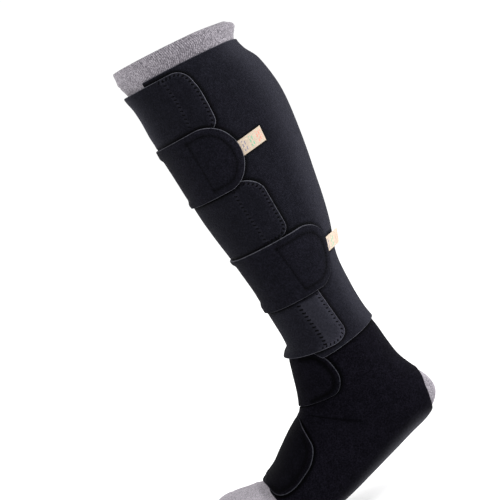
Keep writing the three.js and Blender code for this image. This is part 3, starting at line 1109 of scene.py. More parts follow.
@dataclass
class Workshop:
    """The finishes that the pieces share."""

    calf: bpy.types.Material
    strap: bpy.types.Material
    foot: bpy.types.Material
    knit: bpy.types.Material
    ribbon: bpy.types.Material
    hooks: bpy.types.Material
    thread: bpy.types.Material

    @classmethod
    def stocked(cls) -> "Workshop":
        """A workshop with every finish made."""
        finishes = (CALF_CLOTH, STRAP_CLOTH, FOOT_CLOTH, SOCK_KNIT, LABEL_RIBBON, HOOKS, SEWING_THREAD)
        return cls(*(finish.material() for finish in finishes))


# Outlines. Each gives how far a point lies inside its piece's edge.


def rounded_corner(end: Array, side: Array, radius: float, squash: float = 1.0) -> Array:
    """How far a point lies inside two edges that meet in a rounded corner.

    Args:
        end: distances inside the edge across the piece.
        side: distances inside the edge along it.
        radius: the corner's length down the edge across the piece.
        squash: how much shorter the corner is on the edge along it.

    Returns:
        Distances inside both.
    """
    across, down = radius - end * squash, radius - side
    turn = np.maximum(np.hypot(across, down), TINY)
    slope = np.maximum(np.hypot(across * squash, down) / turn, 1.0)
    in_corner = (across > 0.0) & (down > 0.0)
    return np.where(in_corner, (radius - turn) / slope, np.minimum(end, side))


def painted_edge_shadow(inside: Array, width: float = 2.0) -> Array:
    """How much painted shadow falls beside an edge lying on the cloth, from distances inside that edge."""
    return np.where(inside > -SHADOW_MARGIN, 1.0, hump(inside, -SHADOW_MARGIN, width))


@dataclass(frozen=True)
class ClosingEnd:
    """The outline of a tab or strap: a straight root, two long edges and a free end with rounded corners.

    The free end's angle is given at its upper and lower corner, and the long edges' heights at the root and
    at the free end.
    """

    root: float
    end: tuple[float, float]
    upper: tuple[float, float]
    lower: tuple[float, float]
    upper_corner: float
    lower_corner: float
    squash: float = 1.0

    @property
    def per_degree(self) -> float:
        """Millimetres of girth in one degree at the free end."""
        return FORM.girth_per_degree((self.upper[1] + self.lower[1]) / 2.0)

    @property
    def tip(self) -> float:
        """The largest angle of the free end."""
        return max(self.end)

    def end_at(self, along: Array) -> Array:
        """The angle of the free end at a height."""
        share = (along - self.upper[1]) / (self.lower[1] - self.upper[1])
        return self.end[0] + (self.end[1] - self.end[0]) * np.clip(share, 0.0, 1.0)

    def edge(self, heights: tuple[float, float], angle: Array) -> Array:
        """The height of a long edge at an angle, from its heights at the root and at the free end."""
        return heights[0] + (heights[1] - heights[0]) * (angle - self.root) / (self.tip - self.root)

    def inside(self, along: Array, angle: Array) -> Array:
        """How far points lie inside the outline, from their heights and angles."""
        from_end = (self.end_at(along) - angle) * self.per_degree
        from_upper = along - self.edge(self.upper, angle)
        from_lower = self.edge(self.lower, angle) - along
        free = np.minimum(rounded_corner(from_end, from_upper, self.upper_corner, self.squash),
                          rounded_corner(from_end, from_lower, self.lower_corner, self.squash))
        return np.minimum(free, (angle - self.root) * self.per_degree)

    def inset(self, distance: float, root: float) -> "ClosingEnd":
        """The same outline further in.

        Args:
            distance: how far in from the free end and the long edges.
            root: the angle where the smaller outline starts.

        Returns:
            The smaller outline.
        """
        upper = tuple(float(self.edge(self.upper, np.array(angle))) + distance for angle in (root, self.tip))
        lower = tuple(float(self.edge(self.lower, np.array(angle))) - distance for angle in (root, self.tip))
        least = 2.0
        corners = [max(corner - distance, least) for corner in (self.upper_corner, self.lower_corner)]
        longest = max(self.upper_corner, self.lower_corner)
        squash = max(corners) / max(longest / self.squash - distance, least)
        end = tuple(angle - distance / self.per_degree for angle in self.end)
        return ClosingEnd(root, end, upper, lower, *corners, max(squash, 1.0))

    def free_path(self, start: float, points: int = 14) -> tuple[Array, Array]:
        """The line of the long edges and the free end.

        Args:
            start: the angle where the line begins and ends.
            points: how many points each corner has.

        Returns:
            Angles and heights.
        """
        turn = np.linspace(0.0, math.pi / 2.0, points)
        angles, alongs = [start], [float(self.edge(self.upper, np.array(start)))]
        corners = ((self.upper, self.upper_corner, 1.0), (self.lower, self.lower_corner, -1.0))
        for heights, corner, sign in corners:
            bends = turn if sign > 0 else turn[::-1]
            along = heights[1] + sign * corner * (1.0 - np.cos(bends))
            angle = self.end_at(along) - corner / self.squash * (1.0 - np.sin(bends)) / self.per_degree
            angles.extend(angle)
            alongs.extend(along + self.edge(heights, angle) - heights[1])
        angles.append(start)
        alongs.append(float(self.edge(self.lower, np.array(start))))
        return np.array(angles), np.array(alongs)

    def cross_path(self, from_end: float, margin: float) -> tuple[Array, Array]:
        """A straight line across the piece, in step with its free end.

        Args:
            from_end: the distance from the free end.
            margin: how far the line keeps from both long edges.

        Returns:
            Angles and heights.
        """
        angle = np.array(self.end) - from_end / self.per_degree
        top = self.edge(self.upper, angle)[0] + margin
        bottom = self.edge(self.lower, angle)[1] - margin
        return angle, np.array([top, bottom])


# Hook tape and root seams.


def hook_tape(node: str, span: tuple[float, float], reach: tuple[float, float], inside: Field,
              under: Field) -> Cloth:
    """A piece of hook tape that stands for a solid, cut by an outline."""
    return Cloth(f"{node}_tape", span, reach, inside, under, LAYERS.hook, step=3.0, edge_round=0.4,
                 inner_round=0.1, levels=(0.4, 0.0))


def hook_patch(node: str, span: tuple[float, float], reach: tuple[float, float], under: Field,
               outline: ClosingEnd, inset: float) -> Cloth:
    """A rectangular hook patch on a panel, with its corners cut off where its closing end is rounded.

    Args:
        node: the solid that it stands for.
        span: its angles.
        reach: its heights.
        under: the height of its underside off the sock.
        outline: the closing end that covers it.
        inset: how far it keeps inside that outline.

    Returns:
        The patch as a piece of cloth.
    """
    per_degree = FORM.girth_per_degree(sum(reach) / 2.0)

    def inside(along: Array, angle: Array) -> Array:
        """How far points lie inside the rectangle and the closing end."""
        ends = np.minimum(angle - span[0], span[1] - angle) * per_degree
        sides = np.minimum(along - reach[0], reach[1] - along)
        return np.minimum.reduce([ends, sides, outline.inside(along, angle) - inset])

    return hook_tape(node, span, reach, inside, under)


def root_line(angle: float, start: float, end: float) -> StitchLine:
    """The line that sews a tab or strap to its panel at an angle, between two heights."""
    return StitchLine(ROOT_SEAM, np.full(2, angle), np.array([start, end]))


# The liner sock, and the opening that shows its heel.


@dataclass(frozen=True)
class HeelOpening:
    """The oval opening at the heel, cut along a sloping line."""

    y: float = 57.0
    z: float = -405.0
    half_width: float = 22.5
    half_height: float = 21.0
    slope: float = 16.0
    front: float = 20.0
    far_off: float = 9.0

    def radius(self, points: Array) -> Array:
        """The place of points across the opening: 0 in its middle and 1 at its edge."""
        slope = math.radians(self.slope)
        back, above = points[..., 1] - self.y, points[..., 2] - self.z
        up = back * math.sin(slope) + above * math.cos(slope)
        ahead = back * math.cos(slope) - above * math.sin(slope)
        place = np.hypot(points[..., 0] / self.half_width, up / self.half_height)
        return np.where(ahead > -self.front, place, self.far_off)

    def clear_of(self, points: Array) -> Array:
        """How far points lie outside the opening, in millimetres."""
        return (self.radius(points) - 1.0) * self.half_width

    def depth_inside(self, points: Array) -> Array:
        """1 in the middle of the opening and 0 at its edge and beyond."""
        return np.clip(1.0 - self.radius(points) ** 2, 0.0, 1.0)


HEEL_OPENING = HeelOpening()


@dataclass
class LinerSock:
    """The knitted liner: a ribbed tube with a soft cuff, a full heel in the heel opening and a rounded toe.

    A pair of heights or angles is where something starts and where it is full. A pair named facing is one of
    cosines of the angle, which are 1 at the shin and -1 at the back.
    """

    top: float = -24.0
    toe: float = 594.0
    toe_cap: float = 5.0
    toe_run: float = 5.0
    ribs: int = 200
    rib_height: float = 0.16
    cuff_hem: float = -8.5
    hem_height: float = 0.55
    hem_step: float = 1.0
    rim_step: float = 1.5
    hem_groove: float = 0.5
    hem_groove_width: float = 1.2
    shin_swell: float = 2.2
    shin_height: float = -8.0
    shin_width: float = 9.0
    shin_facing: tuple[float, float] = (0.72, 0.97)
    rim_turn: float = 3.0
    rim_turn_start: float = -14.0
    rim_turn_facing: tuple[float, float] = (-0.3, -0.9)
    heel_bulge: float = 1.7
    toe_swell_at: tuple[float, ...] = (531, 537, 545, 562, 578, 594)
    toe_swell: tuple[float, ...] = (0, 1.6, 1.4, 0, 1.2, 2.2)
    toe_facing: tuple[float, float] = (-0.2, 0.8)
    toe_seam: float = 567.0
    toe_seam_depth: float = 0.6
    toe_seam_width: float = 1.5
    # Painted shade on the back of the cuff and in the heel, and the height where painted light towards the toe
    # starts.
    cuff_shade: tuple[float, float] = (40.0, 0.0)
    shade_outer: tuple[float, float] = (25.0, 110.0)
    shade_inner: tuple[float, float] = (335.0, 250.0)
    heel_shade: float = 0.6
    heel_height: float = 395.0
    heel_width: float = 22.0
    painted_light_start: float = 420.0
    rows_shown: float = 1.6
    rows_hidden: float = 6.0
    shown: tuple[tuple[float, float], ...] = ((-24.0, 10.0), (505.0, 594.0), (368.0, 420.0))
    cap_rows: int = 7
    inner_count: int = 44

    def heights(self) -> Array:
        """The heights of the rows: close together where the sock shows, further apart where it is covered."""
        rows = [self.top]
        while rows[-1] < self.toe:
            shows = any(low <= rows[-1] < high for low, high in self.shown)
            rows.append(min(rows[-1] + (self.rows_shown if shows else self.rows_hidden), self.toe))
        return np.array(rows)

    def shade(self, along: Array, angle: Array) -> Array:
        """Painted shade on the knit, on the cuff towards the back of the leg and at the heel."""
        cuff = ramp(along, *self.cuff_shade) * ramp(angle, *self.shade_outer) * ramp(angle, *self.shade_inner)
        return cuff + self.heel_shade * hump(along, self.heel_height, self.heel_width)

    def cuff_shape(self, along: Array, angle: Array) -> Array:
        """How far the cuff stands off the leg: out over the shin, and in at its rim at the back."""
        facing = np.cos(np.radians(angle))
        shin = hump(along, self.shin_height, self.shin_width) * ramp(facing, *self.shin_facing)
        rim = ramp(along, self.rim_turn_start, self.top) * ramp(facing, *self.rim_turn_facing)
        return self.shin_swell * shin - self.rim_turn * rim

    def swell(self, along: Array, angle: Array) -> Array:
        """How far the knit stands off the leg: its cuff, its hem, a full heel, and toes with their seam."""
        hem = ramp(along, self.cuff_hem + self.hem_step, self.cuff_hem - self.hem_step)
        hem = self.hem_height * hem * ramp(along, self.top, self.top + self.rim_step)
        groove = self.hem_groove * hump(along, self.cuff_hem, self.hem_groove_width)
        on_toes = ramp(np.cos(np.radians(angle)), *self.toe_facing)
        toes = np.interp(along, self.toe_swell_at, self.toe_swell) * on_toes
        seam = self.toe_seam_depth * hump(along, self.toe_seam, self.toe_seam_width)
        heel = self.heel_bulge * np.sqrt(HEEL_OPENING.depth_inside(FORM.point(along, angle)))
        return hem - groove + toes - seam + heel + self.cuff_shape(along, angle)

    def build(self, shop: Workshop) -> None:
        """Makes the sock as one closed mesh of an outer and an inner face."""
        columns = 2 * self.ribs
        angles = np.arange(columns) * FULL_TURN / columns
        rib = np.where(np.arange(columns) % 2, 1.0, 0.0)
        rows = self.heights()[:, None]
        outer = FORM.off(rows, angles, self.swell(rows, angles) + self.rib_height * (2.0 * rib - 1.0))
        inner_rows = np.linspace(self.top, self.toe, self.inner_count)[:, None]
        pulled_in = np.minimum(self.cuff_shape(inner_rows, angles), 0.0)
        inner = FORM.off(inner_rows, angles, pulled_in - LAYERS.knit)
        rings = [*self._cap(inner[-1])[::-1], *inner[::-1], *outer, *self._cap(outer[-1])]
        tips = [rings[0].mean(axis=0), rings[-1].mean(axis=0)]
        points = np.concatenate([np.reshape(rings, (-1, 3)), tips])
        cap = np.full(self.cap_rows, self.toe)
        heights = np.concatenate([cap, inner_rows[::-1, 0], rows[:, 0], cap])
        per_degree = FORM.girth_per_degree(self.top)
        flat = np.stack([np.tile(angles * per_degree, len(rings)), np.repeat(heights, columns)], axis=1)
        flat = np.concatenate([flat, flat[[0, -1]]])
        across, down = flat.T
        # Painted light towards the toe, less the painted shade.
        wear = ramp(down, self.painted_light_start, self.toe) - self.shade(down, across / per_degree)
        ribs = np.concatenate([np.tile(rib, len(rings)), [0.5, 0.5]])
        sock = make_object("liner_sock_knit", points, self._faces(len(rings), columns), shop.knit,
                           {"rib": ribs, "wear": wear}, flat)
        fit(sock, "liner_sock", self._cut_size(outer))

    @staticmethod
    def _faces(rings: int, columns: int) -> list[list[int]]:
        """Joins the rings, and closes both ends on the two points that follow them.

        Args:
            rings: the number of rings.
            columns: the number of points in a ring.

        Returns:
            Vertex numbers of each face.
        """
        faces = []
        for row in range(rings - 1):
            low, high = row * columns, (row + 1) * columns
            for column in range(columns):
                after = (column + 1) % columns
                faces.append([low + column, high + column, high + after, low + after])
        last, tip = (rings - 1) * columns, rings * columns
        turns = [(column, (column + 1) % columns) for column in range(columns)]
        faces += [[tip, column, after] for column, after in turns]
        faces += [[tip + 1, last + after, last + column] for column, after in turns]
        return faces

    @staticmethod
    def _cut_size(outer: Array) -> tuple[tuple[float, float], float]:
        """The size of the flat knit.

        Args:
            outer: the points of the outer face, in rows.

        Returns:
            Its width round the leg and its length down it, and its area, in metres and square metres.
        """
        widths = np.linalg.norm(outer - np.roll(outer, 1, axis=1), axis=2).sum(axis=1)
        lengths = np.linalg.norm(np.diff(outer, axis=0), axis=2)
        area = float((widths[:-1] * lengths.mean(axis=1)).sum()) * MM * MM
        return (float(widths.max()) * MM, float(lengths.sum(axis=0).max()) * MM), area

    def _cap(self, ring: Array) -> list[Array]:
        """Rounds the toe over from its last ring.

        Args:
            ring: the last ring of a face.

        Returns:
            Smaller rings towards the tip.
        """
        middle = ring.mean(axis=0)
        before, last = FORM.point(np.array([self.toe - self.toe_run, self.toe]), OUTER_SIDE)
        ahead = (last - before) * (0.0, 1.0, 1.0)
        ahead = ahead / np.linalg.norm(ahead) * self.toe_cap
        turns = np.linspace(0.0, math.pi / 2.0, self.cap_rows + 2)[1:-1]
        return [middle + (ring - middle) * math.cos(turn) + ahead * math.sin(turn) for turn in turns]


# The foot wrap.


@dataclass(frozen=True)
class CalfHem:
    """The calf panel's hem, which lies on the foot panel and hangs lowest at the shin."""

    height: float = 311.5
    drop: float = 14.0

    def at(self, angle: Array) -> Array:
        """The hem's height at an angle."""
        return self.height + self.drop * np.cos(np.radians(angle / 2.0)) ** 2


CALF_HEM = CalfHem()


@dataclass(frozen=True)
class FootTab:
    """A closing tab of the foot panel, with its edges' heights at the seam and at the free end."""

    name: str
    hook: str
    near: tuple[float, float]
    far: tuple[float, float]
    end: float
    near_corner: float
    far_corner: float
    hook_reach: tuple[float, float]
    # An even painted shade over the whole tab.
    wear: float
    groove: float


@dataclass
class FootWrap:
    """The panel round the ankle and foot, its two closing tabs and their hook patches.

    A pair of heights or angles is where something starts and where it is full.
    """

    front_edge: float = -12.0
    seam: float = -24.0
    seam_gap: float = 0.8
    seam_stitch: float = 2.56
    seam_margin: float = 3.0
    tongue_gap: float = 1.4
    top: float = 276.0
    toe_edge: float = 520.0
    toe_rise: float = 7.0
    toe_cut: float = 7.0
    toe_blend: tuple[float, float] = (0.0, 38.0)
    toe_fall: tuple[float, float] = (1.0, 14.0)
    hook_start: float = 36.0
    hook_inset: float = 7.0
    climb: float = 12.0
    ease_in: float = 60.0
    squash: float = 1.8
    groove_inset: float = 5.0
    # The share of painted shade in the groove round each hook patch.
    groove_painted_shade: float = 1.2
    hem_clear: tuple[float, float] = (326.5, 336.5)
    tab_round: float = 1.4
    tab_toe: float = 528.5
    tab_toe_bend: float = 0.008
    tab_toe_start: float = 4.0
    dart_angles: tuple[float, ...] = (29.0, 66.0, 85.5)
    dart_heights: tuple[float, ...] = (396.0, 405.0, 408.5)
    dart_start: tuple[float, float] = (20.0, 30.0)
    dart_end: tuple[float, float] = (92.0, 70.0)
    dart_width: float = 1.8
    dart_depth: float = 0.9
    # The share of painted shade along the dart.
    dart_painted_shade: float = 0.8
    fold_gap: float = 0.5
    fold_height: float = 3.2
    fold_edge: float = 2.5
    fold_start: tuple[float, float] = (-22.0, -14.0)
    fold_end: tuple[float, float] = (38.0, 18.0)
    # Painted light along the sole, where it turns under the foot.
    sole_painted_light: float = 0.75
    sole_outer: tuple[float, float] = (112.0, 158.0)
    sole_inner: tuple[float, float] = (248.0, 202.0)
    sole_start: tuple[float, float] = (402.0, 416.0)
    panel_ripple: Ripple = Ripple(height=0.25, wave=26.0, seed=3.1)
    tab_ripple: Ripple = Ripple(height=0.3, wave=17.0, seed=8.4)
    tabs: tuple[FootTab, ...] = (
        FootTab("ankle_tab", "hook_patch_ankle", near=(308, 313), far=(386, 361), end=78,
                near_corner=34, far_corner=20, hook_reach=(340, 354), wear=0.04, groove=0.8),
        FootTab("instep_tab", "hook_patch_instep", near=(387.5, 453), far=(531.5, 517.5), end=67,
                near_corner=20, far_corner=30, hook_reach=(462, 488), wear=0.35, groove=0.45),
    )

    def outline(self, tab: FootTab) -> ClosingEnd:
        """The outline of a tab."""
        return ClosingEnd(self.seam + self.seam_gap, (tab.end, tab.end), tab.near, tab.far, tab.near_corner,
                          tab.far_corner, self.squash)

    def between_tabs(self, along: Array, angle: Array) -> Array:
        """How far points lie inside the open wedge between the two tabs."""
        ankle, instep = (self.outline(tab) for tab in self.tabs)
        return np.minimum(along - ankle.edge(ankle.lower, angle), instep.edge(instep.upper, angle) - along)

    def inside_panel(self, along: Array, angle: Array) -> Array:
        """How far points lie inside the panel's edge, from their heights and angles."""
        per_degree = FORM.girth_per_degree((self.top + self.toe_edge) / 2.0)
        tongue = np.minimum(self.between_tabs(along, angle) - self.fold_gap,
                            (angle - self.seam - self.tongue_gap) * per_degree)
        return np.minimum.reduce([
            along - self.top,
            self.toe_line(angle) - along,
            np.maximum((angle - self.front_edge) * per_degree, tongue),
            (FULL_TURN + self.seam - angle) * per_degree,
            HEEL_OPENING.clear_of(FORM.point(along, angle)),
        ])

    def toe_line(self, angle: Array) -> Array:
        """The height of the panel's toe edge, which is cut back under the instep tab."""
        beside_tab = ramp(angle, *self.toe_blend)
        rise = self.toe_rise * np.maximum(np.cos(np.radians(angle)), 0.0) ** 2
        return self.toe_edge + rise * beside_tab - self.toe_cut * (1.0 - beside_tab)

    def over_panel(self, angle: Array) -> Array:
        """How far the panel lifts what lies on it, past its front edge."""
        return LAYERS.foot * ramp(angle, self.front_edge - self.climb, self.front_edge)

    def on_panel(self, along: Array, angle: Array) -> Array:
        """The height just above the panel, off the sock."""
        return level(LAYERS.gap)(along, angle) + self.over_panel(angle)

    def under_tab(self, along: Array, angle: Array) -> Array:
        """The height of a tab's underside, which rises over its patch and falls past the panel's toe."""
        lift = LAYERS.patch * ramp(angle, self.hook_start - self.ease_in, self.hook_start)
        height = self.over_panel(angle) + lift * ramp(along, *self.hem_clear)
        past_toe = ramp(along - self.toe_line(angle), *self.toe_fall)
        return LAYERS.gap + LAYERS.ease + height * (1.0 - past_toe)

    def dart(self, along: Array, angle: Array) -> Array:
        """1 on the dart that runs back from the instep crease and 0 away from it."""
        from_line = along - np.interp(angle, self.dart_angles, self.dart_heights)
        length = ramp(angle, *self.dart_start) * ramp(angle, *self.dart_end)
        return hump(from_line, 0.0, self.dart_width) * length

    def panel_painted_shading(self, along: Array, angle: Array) -> Array:
        """Painted shade beside tab edges and the calf hem and in the dart, less painted light at the sole."""
        edges = [painted_edge_shadow(self.outline(tab).inside(along, angle)) for tab in self.tabs]
        hem = painted_edge_shadow(CALF_HEM.at(angle) - along)
        under_foot = (ramp(angle, *self.sole_outer) * ramp(angle, *self.sole_inner)) ** 2
        sole = self.sole_painted_light * under_foot * ramp(along, *self.sole_start)
        return np.maximum.reduce([*edges, hem, self.dart_painted_shade * self.dart(along, angle)]) - sole

    def panel_relief(self, along: Array, angle: Array) -> Array:
        """Slight swells of the panel, its dart, and the fold that fills the crease between the tabs."""
        fold = ramp(angle, *self.fold_start) * ramp(angle, *self.fold_end)
        fold = self.fold_height * fold * ramp(self.between_tabs(along, angle), 0.0, self.fold_edge)
        return fold - self.dart_depth * self.dart(along, angle) + self.panel_ripple.around(along, angle)

    def build(self, shop: Workshop) -> None:
        """Makes the panel, the tabs and the patches."""
        panel = Cloth("foot_panel_cloth", (self.seam + self.tongue_gap, FULL_TURN + self.seam),
                      (self.top, self.toe_edge + self.toe_rise), self.inside_panel, level(LAYERS.gap),
                      LAYERS.foot_foam, relief=self.panel_relief, painted_shade=self.panel_painted_shading)
        fit(panel.build(shop.foot), "foot_panel", panel.cut_size())
        for tab in self.tabs:
            self.build_tab(tab, shop)

    def build_tab(self, tab: FootTab, shop: Workshop) -> None:
        """Makes a tab and its hook patch.

        Args:
            tab: the tab.
            shop: the finishes.
        """
        end = self.outline(tab)
        around_patch = end.inset(self.groove_inset, self.hook_start).free_path(self.hook_start)
        style = replace(FOOT_PATCH_SEAM, groove=tab.groove, painted_shade_share=self.groove_painted_shade * tab.groove)
        foot_end = min(tab.far[0], self.toe_edge)
        lines = [
            StitchLine(style, *around_patch),
            root_line(self.seam + self.seam_stitch, tab.near[0] + self.seam_margin,
                      foot_end - self.seam_margin),
        ]

        def inside(along: Array, angle: Array) -> Array:
            """How far points lie inside the tab's edge, which is rounded off towards the toes."""
            before = np.minimum(angle - self.tab_toe_start, 0.0)
            toe = self.tab_toe - self.tab_toe_bend * before ** 2
            return np.minimum(end.inside(along, angle), toe - along)

        # The tab is darkened evenly with painted shade.
        cloth = Cloth(f"{tab.name}_cloth", (end.root, end.tip), (min(tab.near), max(tab.far)), inside,
                      self.under_tab, LAYERS.foot_foam, edge_round=self.tab_round, lines=lines,
                      relief=self.tab_ripple.above, painted_shade=level(tab.wear))
        fit(cloth.build(shop.foot), tab.name, cloth.cut_size(),
            cloth.sew(shop.thread))
        span = (self.hook_start, end.tip - self.hook_inset / end.per_degree)
        patch = hook_patch(tab.hook, span, tab.hook_reach, self.on_panel, end, self.hook_inset)
        fit(patch.build(shop.hooks), tab.hook, patch.cut_size())


# The calf wrap.


@dataclass(frozen=True)
class CalfTab:
    """A closing tab of the calf panel, with its stitches, its painted shading and what lifts it off the leg.

    The end's angle and the bottom's height are given at both corners. The rise is how much higher the top is
    at the seam. The whole tab is darkened where nap is above 0 and lightened where below, and painted light
    brightens the shin and the end.
    """

    name: str
    hook: str
    top: float
    rise: float
    bottom: tuple[float, float]
    end: tuple[float, float]
    top_corner: float
    bottom_corner: float
    hook_start: float
    stitch_from_end: float
    edge_thread: float
    cross_thread: float
    cross_width: float
    nap: float
    shin_painted_light: float = 0.0
    end_painted_light: float = 0.0
    shin_lift: float = 0.0
    rim_lift: float = 0.0
    lip: float = 0.0


@dataclass(frozen=True)
class Strap:
    """A strap with a D-shaped end, and the label under it.

    The dip is how much lower the top is at the end, and the lean moves the D's point down.
    """

    name: str
    hook: str
    label: str
    top: float
    bottom: float
    dip: float
    lean: float
    end: float
    hook_start: float
    patch_start: tuple[float, float]
    label_reach: tuple[float, float]
    label_curl: float


@dataclass
class CalfWrap:
    """The panel round the calf, with its closing tabs, straps, labels and hook patches.

    A pair of heights or angles is where something starts and where it is full.
    """

    top: float = 0.0
    rim_dip: float = 1.5
    rim_dip_angle: float = 182.0
    rim_dip_width: float = 24.0
    hem_cut: tuple[float, float] = (301.0, 320.0)
    hem_cut_end: float = 68.0
    bridge_top: float = 225.0
    bridge_lead: float = 2.0
    ankle_past: float = 4.0
    ankle_climb: tuple[float, float] = (-11.0, -2.0)
    front_edge: float = 48.0
    front_past: float = 2.0
    seam: float = -60.0
    seam_gap: float = 0.8
    seam_stitch: float = 2.56
    seam_margin: float = 2.0
    strap_root: float = -108.0
    root_inset: float = 5.0
    root_margin: float = 3.0
    climb: float = 12.0
    ease_in: float = 60.0
    step_down: float = 5.0
    squeeze: float = 1.1
    squeeze_edge: tuple[float, float] = (-1.5, 0.5)
    d_flat: float = 3.0
    d_squash: float = 1.25
    edge_inset: float = 2.6
    hook_inset: float = 7.0
    hook_overhang: float = 0.5
    hook_spare: float = 2.0
    hook_lowest: float = 297.0
    label_length: float = 22.8
    label_tuck: float = 4.0
    label_rise: float = 3.0
    # Painted shadow beside the labels, and painted light at the panel's hem and back and at the tabs' shin and
    # ends.
    label_painted_shadow: float = 0.85
    label_shadow_width: float = 1.1
    hem_painted_light: float = 0.04
    hem_light_reach: tuple[float, float] = (215.0, 285.0)
    back_painted_light: float = 0.36
    back_outer: tuple[float, float] = (118.0, 150.0)
    back_inner: tuple[float, float] = (270.0, 210.0)
    shin_light_angle: float = 2.0
    shin_light_width: float = 26.0
    end_light_reach: tuple[float, float] = (-1.0, 3.0)
    shin_fade: tuple[float, float] = (25.0, 60.0)
    shin_foot: tuple[float, float] = (58.0, 46.0)
    rim_run: float = 14.0
    lip_fade: tuple[float, float] = (55.0, 80.0)
    lip_run: float = 9.0
    swell_start: tuple[float, float] = (100.0, 150.0)
    swell_end: tuple[float, float] = (285.0, 300.0)
    panel_ripple: Ripple = Ripple(height=0.35, wave=34.0, seed=1.7)
    tab_ripple: Ripple = Ripple(height=0.15, wave=19.0, seed=0.0)
    strap_ripple: Ripple = Ripple(height=0.2, wave=22.0, seed=0.0)
    foot: FootWrap = field(default_factory=FootWrap)
    tabs: tuple[CalfTab, ...] = (
        CalfTab("calf_tab_top", "hook_patch_top", top=5.5, rise=3.2, bottom=(70.5, 70.5), end=(90.5, 85.5),
                top_corner=13, bottom_corner=10, hook_start=60, stitch_from_end=22.7, edge_thread=0.75,
                cross_thread=0.5, cross_width=4.2, nap=0.12, shin_painted_light=0.9, shin_lift=0.9, rim_lift=1.4),
        CalfTab("calf_tab_middle", "hook_patch_middle", top=124.5, rise=0, bottom=(199, 191.5), end=(94, 98),
                top_corner=20, bottom_corner=10, hook_start=60, stitch_from_end=23, edge_thread=0.75,
                cross_thread=0.55, cross_width=4.2, nap=0.12),
        CalfTab("calf_tab_bottom", "hook_patch_bottom", top=248, rise=0, bottom=(312.5, 312.5),
                end=(101, 109), top_corner=8, bottom_corner=14, hook_start=72, stitch_from_end=19,
                edge_thread=0.55, cross_thread=0.75, cross_width=5.6, nap=-0.05, end_painted_light=0.36, lip=1.6),
    )
    straps: tuple[Strap, ...] = (
        Strap("strap_upper", "hook_patch_strap_upper", "label_upper", top=61.5, bottom=128.5, dip=1.6,
              lean=3.0, end=92, hook_start=48, patch_start=(56, 56), label_reach=(91.6, 106.5),
              label_curl=0.8),
        Strap("strap_lower", "hook_patch_strap_lower", "label_lower", top=192, bottom=254.5, dip=0.8,
              lean=0.0, end=138, hook_start=84, patch_start=(79, 90), label_reach=(216.5, 230.5),
              label_curl=5.0),
    )

    def tab_outline(self, tab: CalfTab) -> ClosingEnd:
        """The outline of a closing tab."""
        return ClosingEnd(self.seam + self.seam_gap, tab.end, (tab.top - tab.rise, tab.top), tab.bottom,
                          tab.top_corner, tab.bottom_corner)

    def strap_outline(self, strap: Strap) -> ClosingEnd:
        """The outline of a strap."""
        radius = (strap.bottom - strap.top - strap.dip - self.d_flat) / 2.0
        return ClosingEnd(self.strap_root, (strap.end, strap.end), (strap.top, strap.top + strap.dip),
                          (strap.bottom, strap.bottom), radius + strap.lean, radius - strap.lean / 2.0,
                          self.d_squash)

    def over_foot(self, along: Array, angle: Array) -> Array:
        """How far the calf cloth is lifted by the foot panel and the ankle tab under it."""
        over_panel = LAYERS.foot * ramp(along, self.bridge_top, self.foot.top - self.bridge_lead)
        ankle = self.foot.tabs[0]
        past_end = ankle.end + self.ankle_past
        beside = ramp(angle, self.foot.seam - self.climb, self.foot.front_edge)
        beside = beside * (1.0 - ramp(angle, past_end, past_end + 2.0 * self.climb))
        start, full = (ankle.near[0] + offset for offset in self.ankle_climb)
        over_tab = (LAYERS.foot + 2.0 * LAYERS.ease) * ramp(along, start, full)
        return over_panel + over_tab * beside

    def over_front_edge(self, angle: Array) -> Array:
        """How much of a layer lies over the panel's front edge."""
        return ramp(angle, self.front_edge - self.ease_in, self.front_edge + self.front_past)

    def over_hook(self, along: Array, angle: Array, start: float, outline: ClosingEnd) -> Array:
        """The lift of a closing end over its hook patch, from the angle where the patch starts."""
        on_patch = ramp(outline.inside(along, angle), self.hook_overhang, self.hook_inset)
        return LAYERS.patch * ramp(angle, start - self.ease_in, start) * on_patch

    def under_panel(self, along: Array, angle: Array) -> Array:
        """The height of the panel's underside off the sock."""
        return LAYERS.gap + self.over_foot(along, angle)

    def on_panel(self, along: Array, angle: Array) -> Array:
        """The height just above the panel, off the sock."""
        return self.under_panel(along, angle) + LAYERS.calf

    def under_tab(self, tab: CalfTab) -> Field:
        """The height of a tab's underside, which climbs over the panel's front edge and the hook patch."""
        outline = self.tab_outline(tab)

        def under(along: Array, angle: Array) -> Array:
            """The height at heights along and angles round the leg."""
            lift = LAYERS.calf * self.over_front_edge(angle)
            lift = lift + self.over_hook(along, angle, tab.hook_start, outline)
            return self.under_panel(along, angle) + lift
        return under

    def beside(self, tab: CalfTab, strap: Strap, along: Array, angle: Array) -> Array:
        """How much of a tab lies under a strap near the edge that they share.

        Args:
            tab: the tab.
            strap: the strap over it.
            along: heights down the leg.
            angle: angles round it.

        Returns:
            1 on the tab and 0 away from it.
        """
        outline = self.tab_outline(tab)
        if tab.top < strap.top:
            bottom = outline.edge(outline.lower, angle)
            return ramp(along, bottom + self.step_down, bottom)
        return ramp(along, tab.top - self.step_down, tab.top)

    def squeezed(self, along: Array, angle: Array) -> Array:
        """How far the straps squeeze a tab's foam at the edges that they cover."""
        covered = [ramp(self.strap_outline(strap).inside(along, angle), *self.squeeze_edge)
                   for strap in self.straps]
        return self.squeeze * np.maximum.reduce(covered)

    def under_strap(self, strap: Strap) -> Field:
        """The height of a strap's underside, which dips over the shin and rises over the tabs' edges."""
        tabs = [tab for tab in self.tabs if tab.bottom[0] > strap.top and tab.top < strap.bottom]
        outline = self.strap_outline(strap)

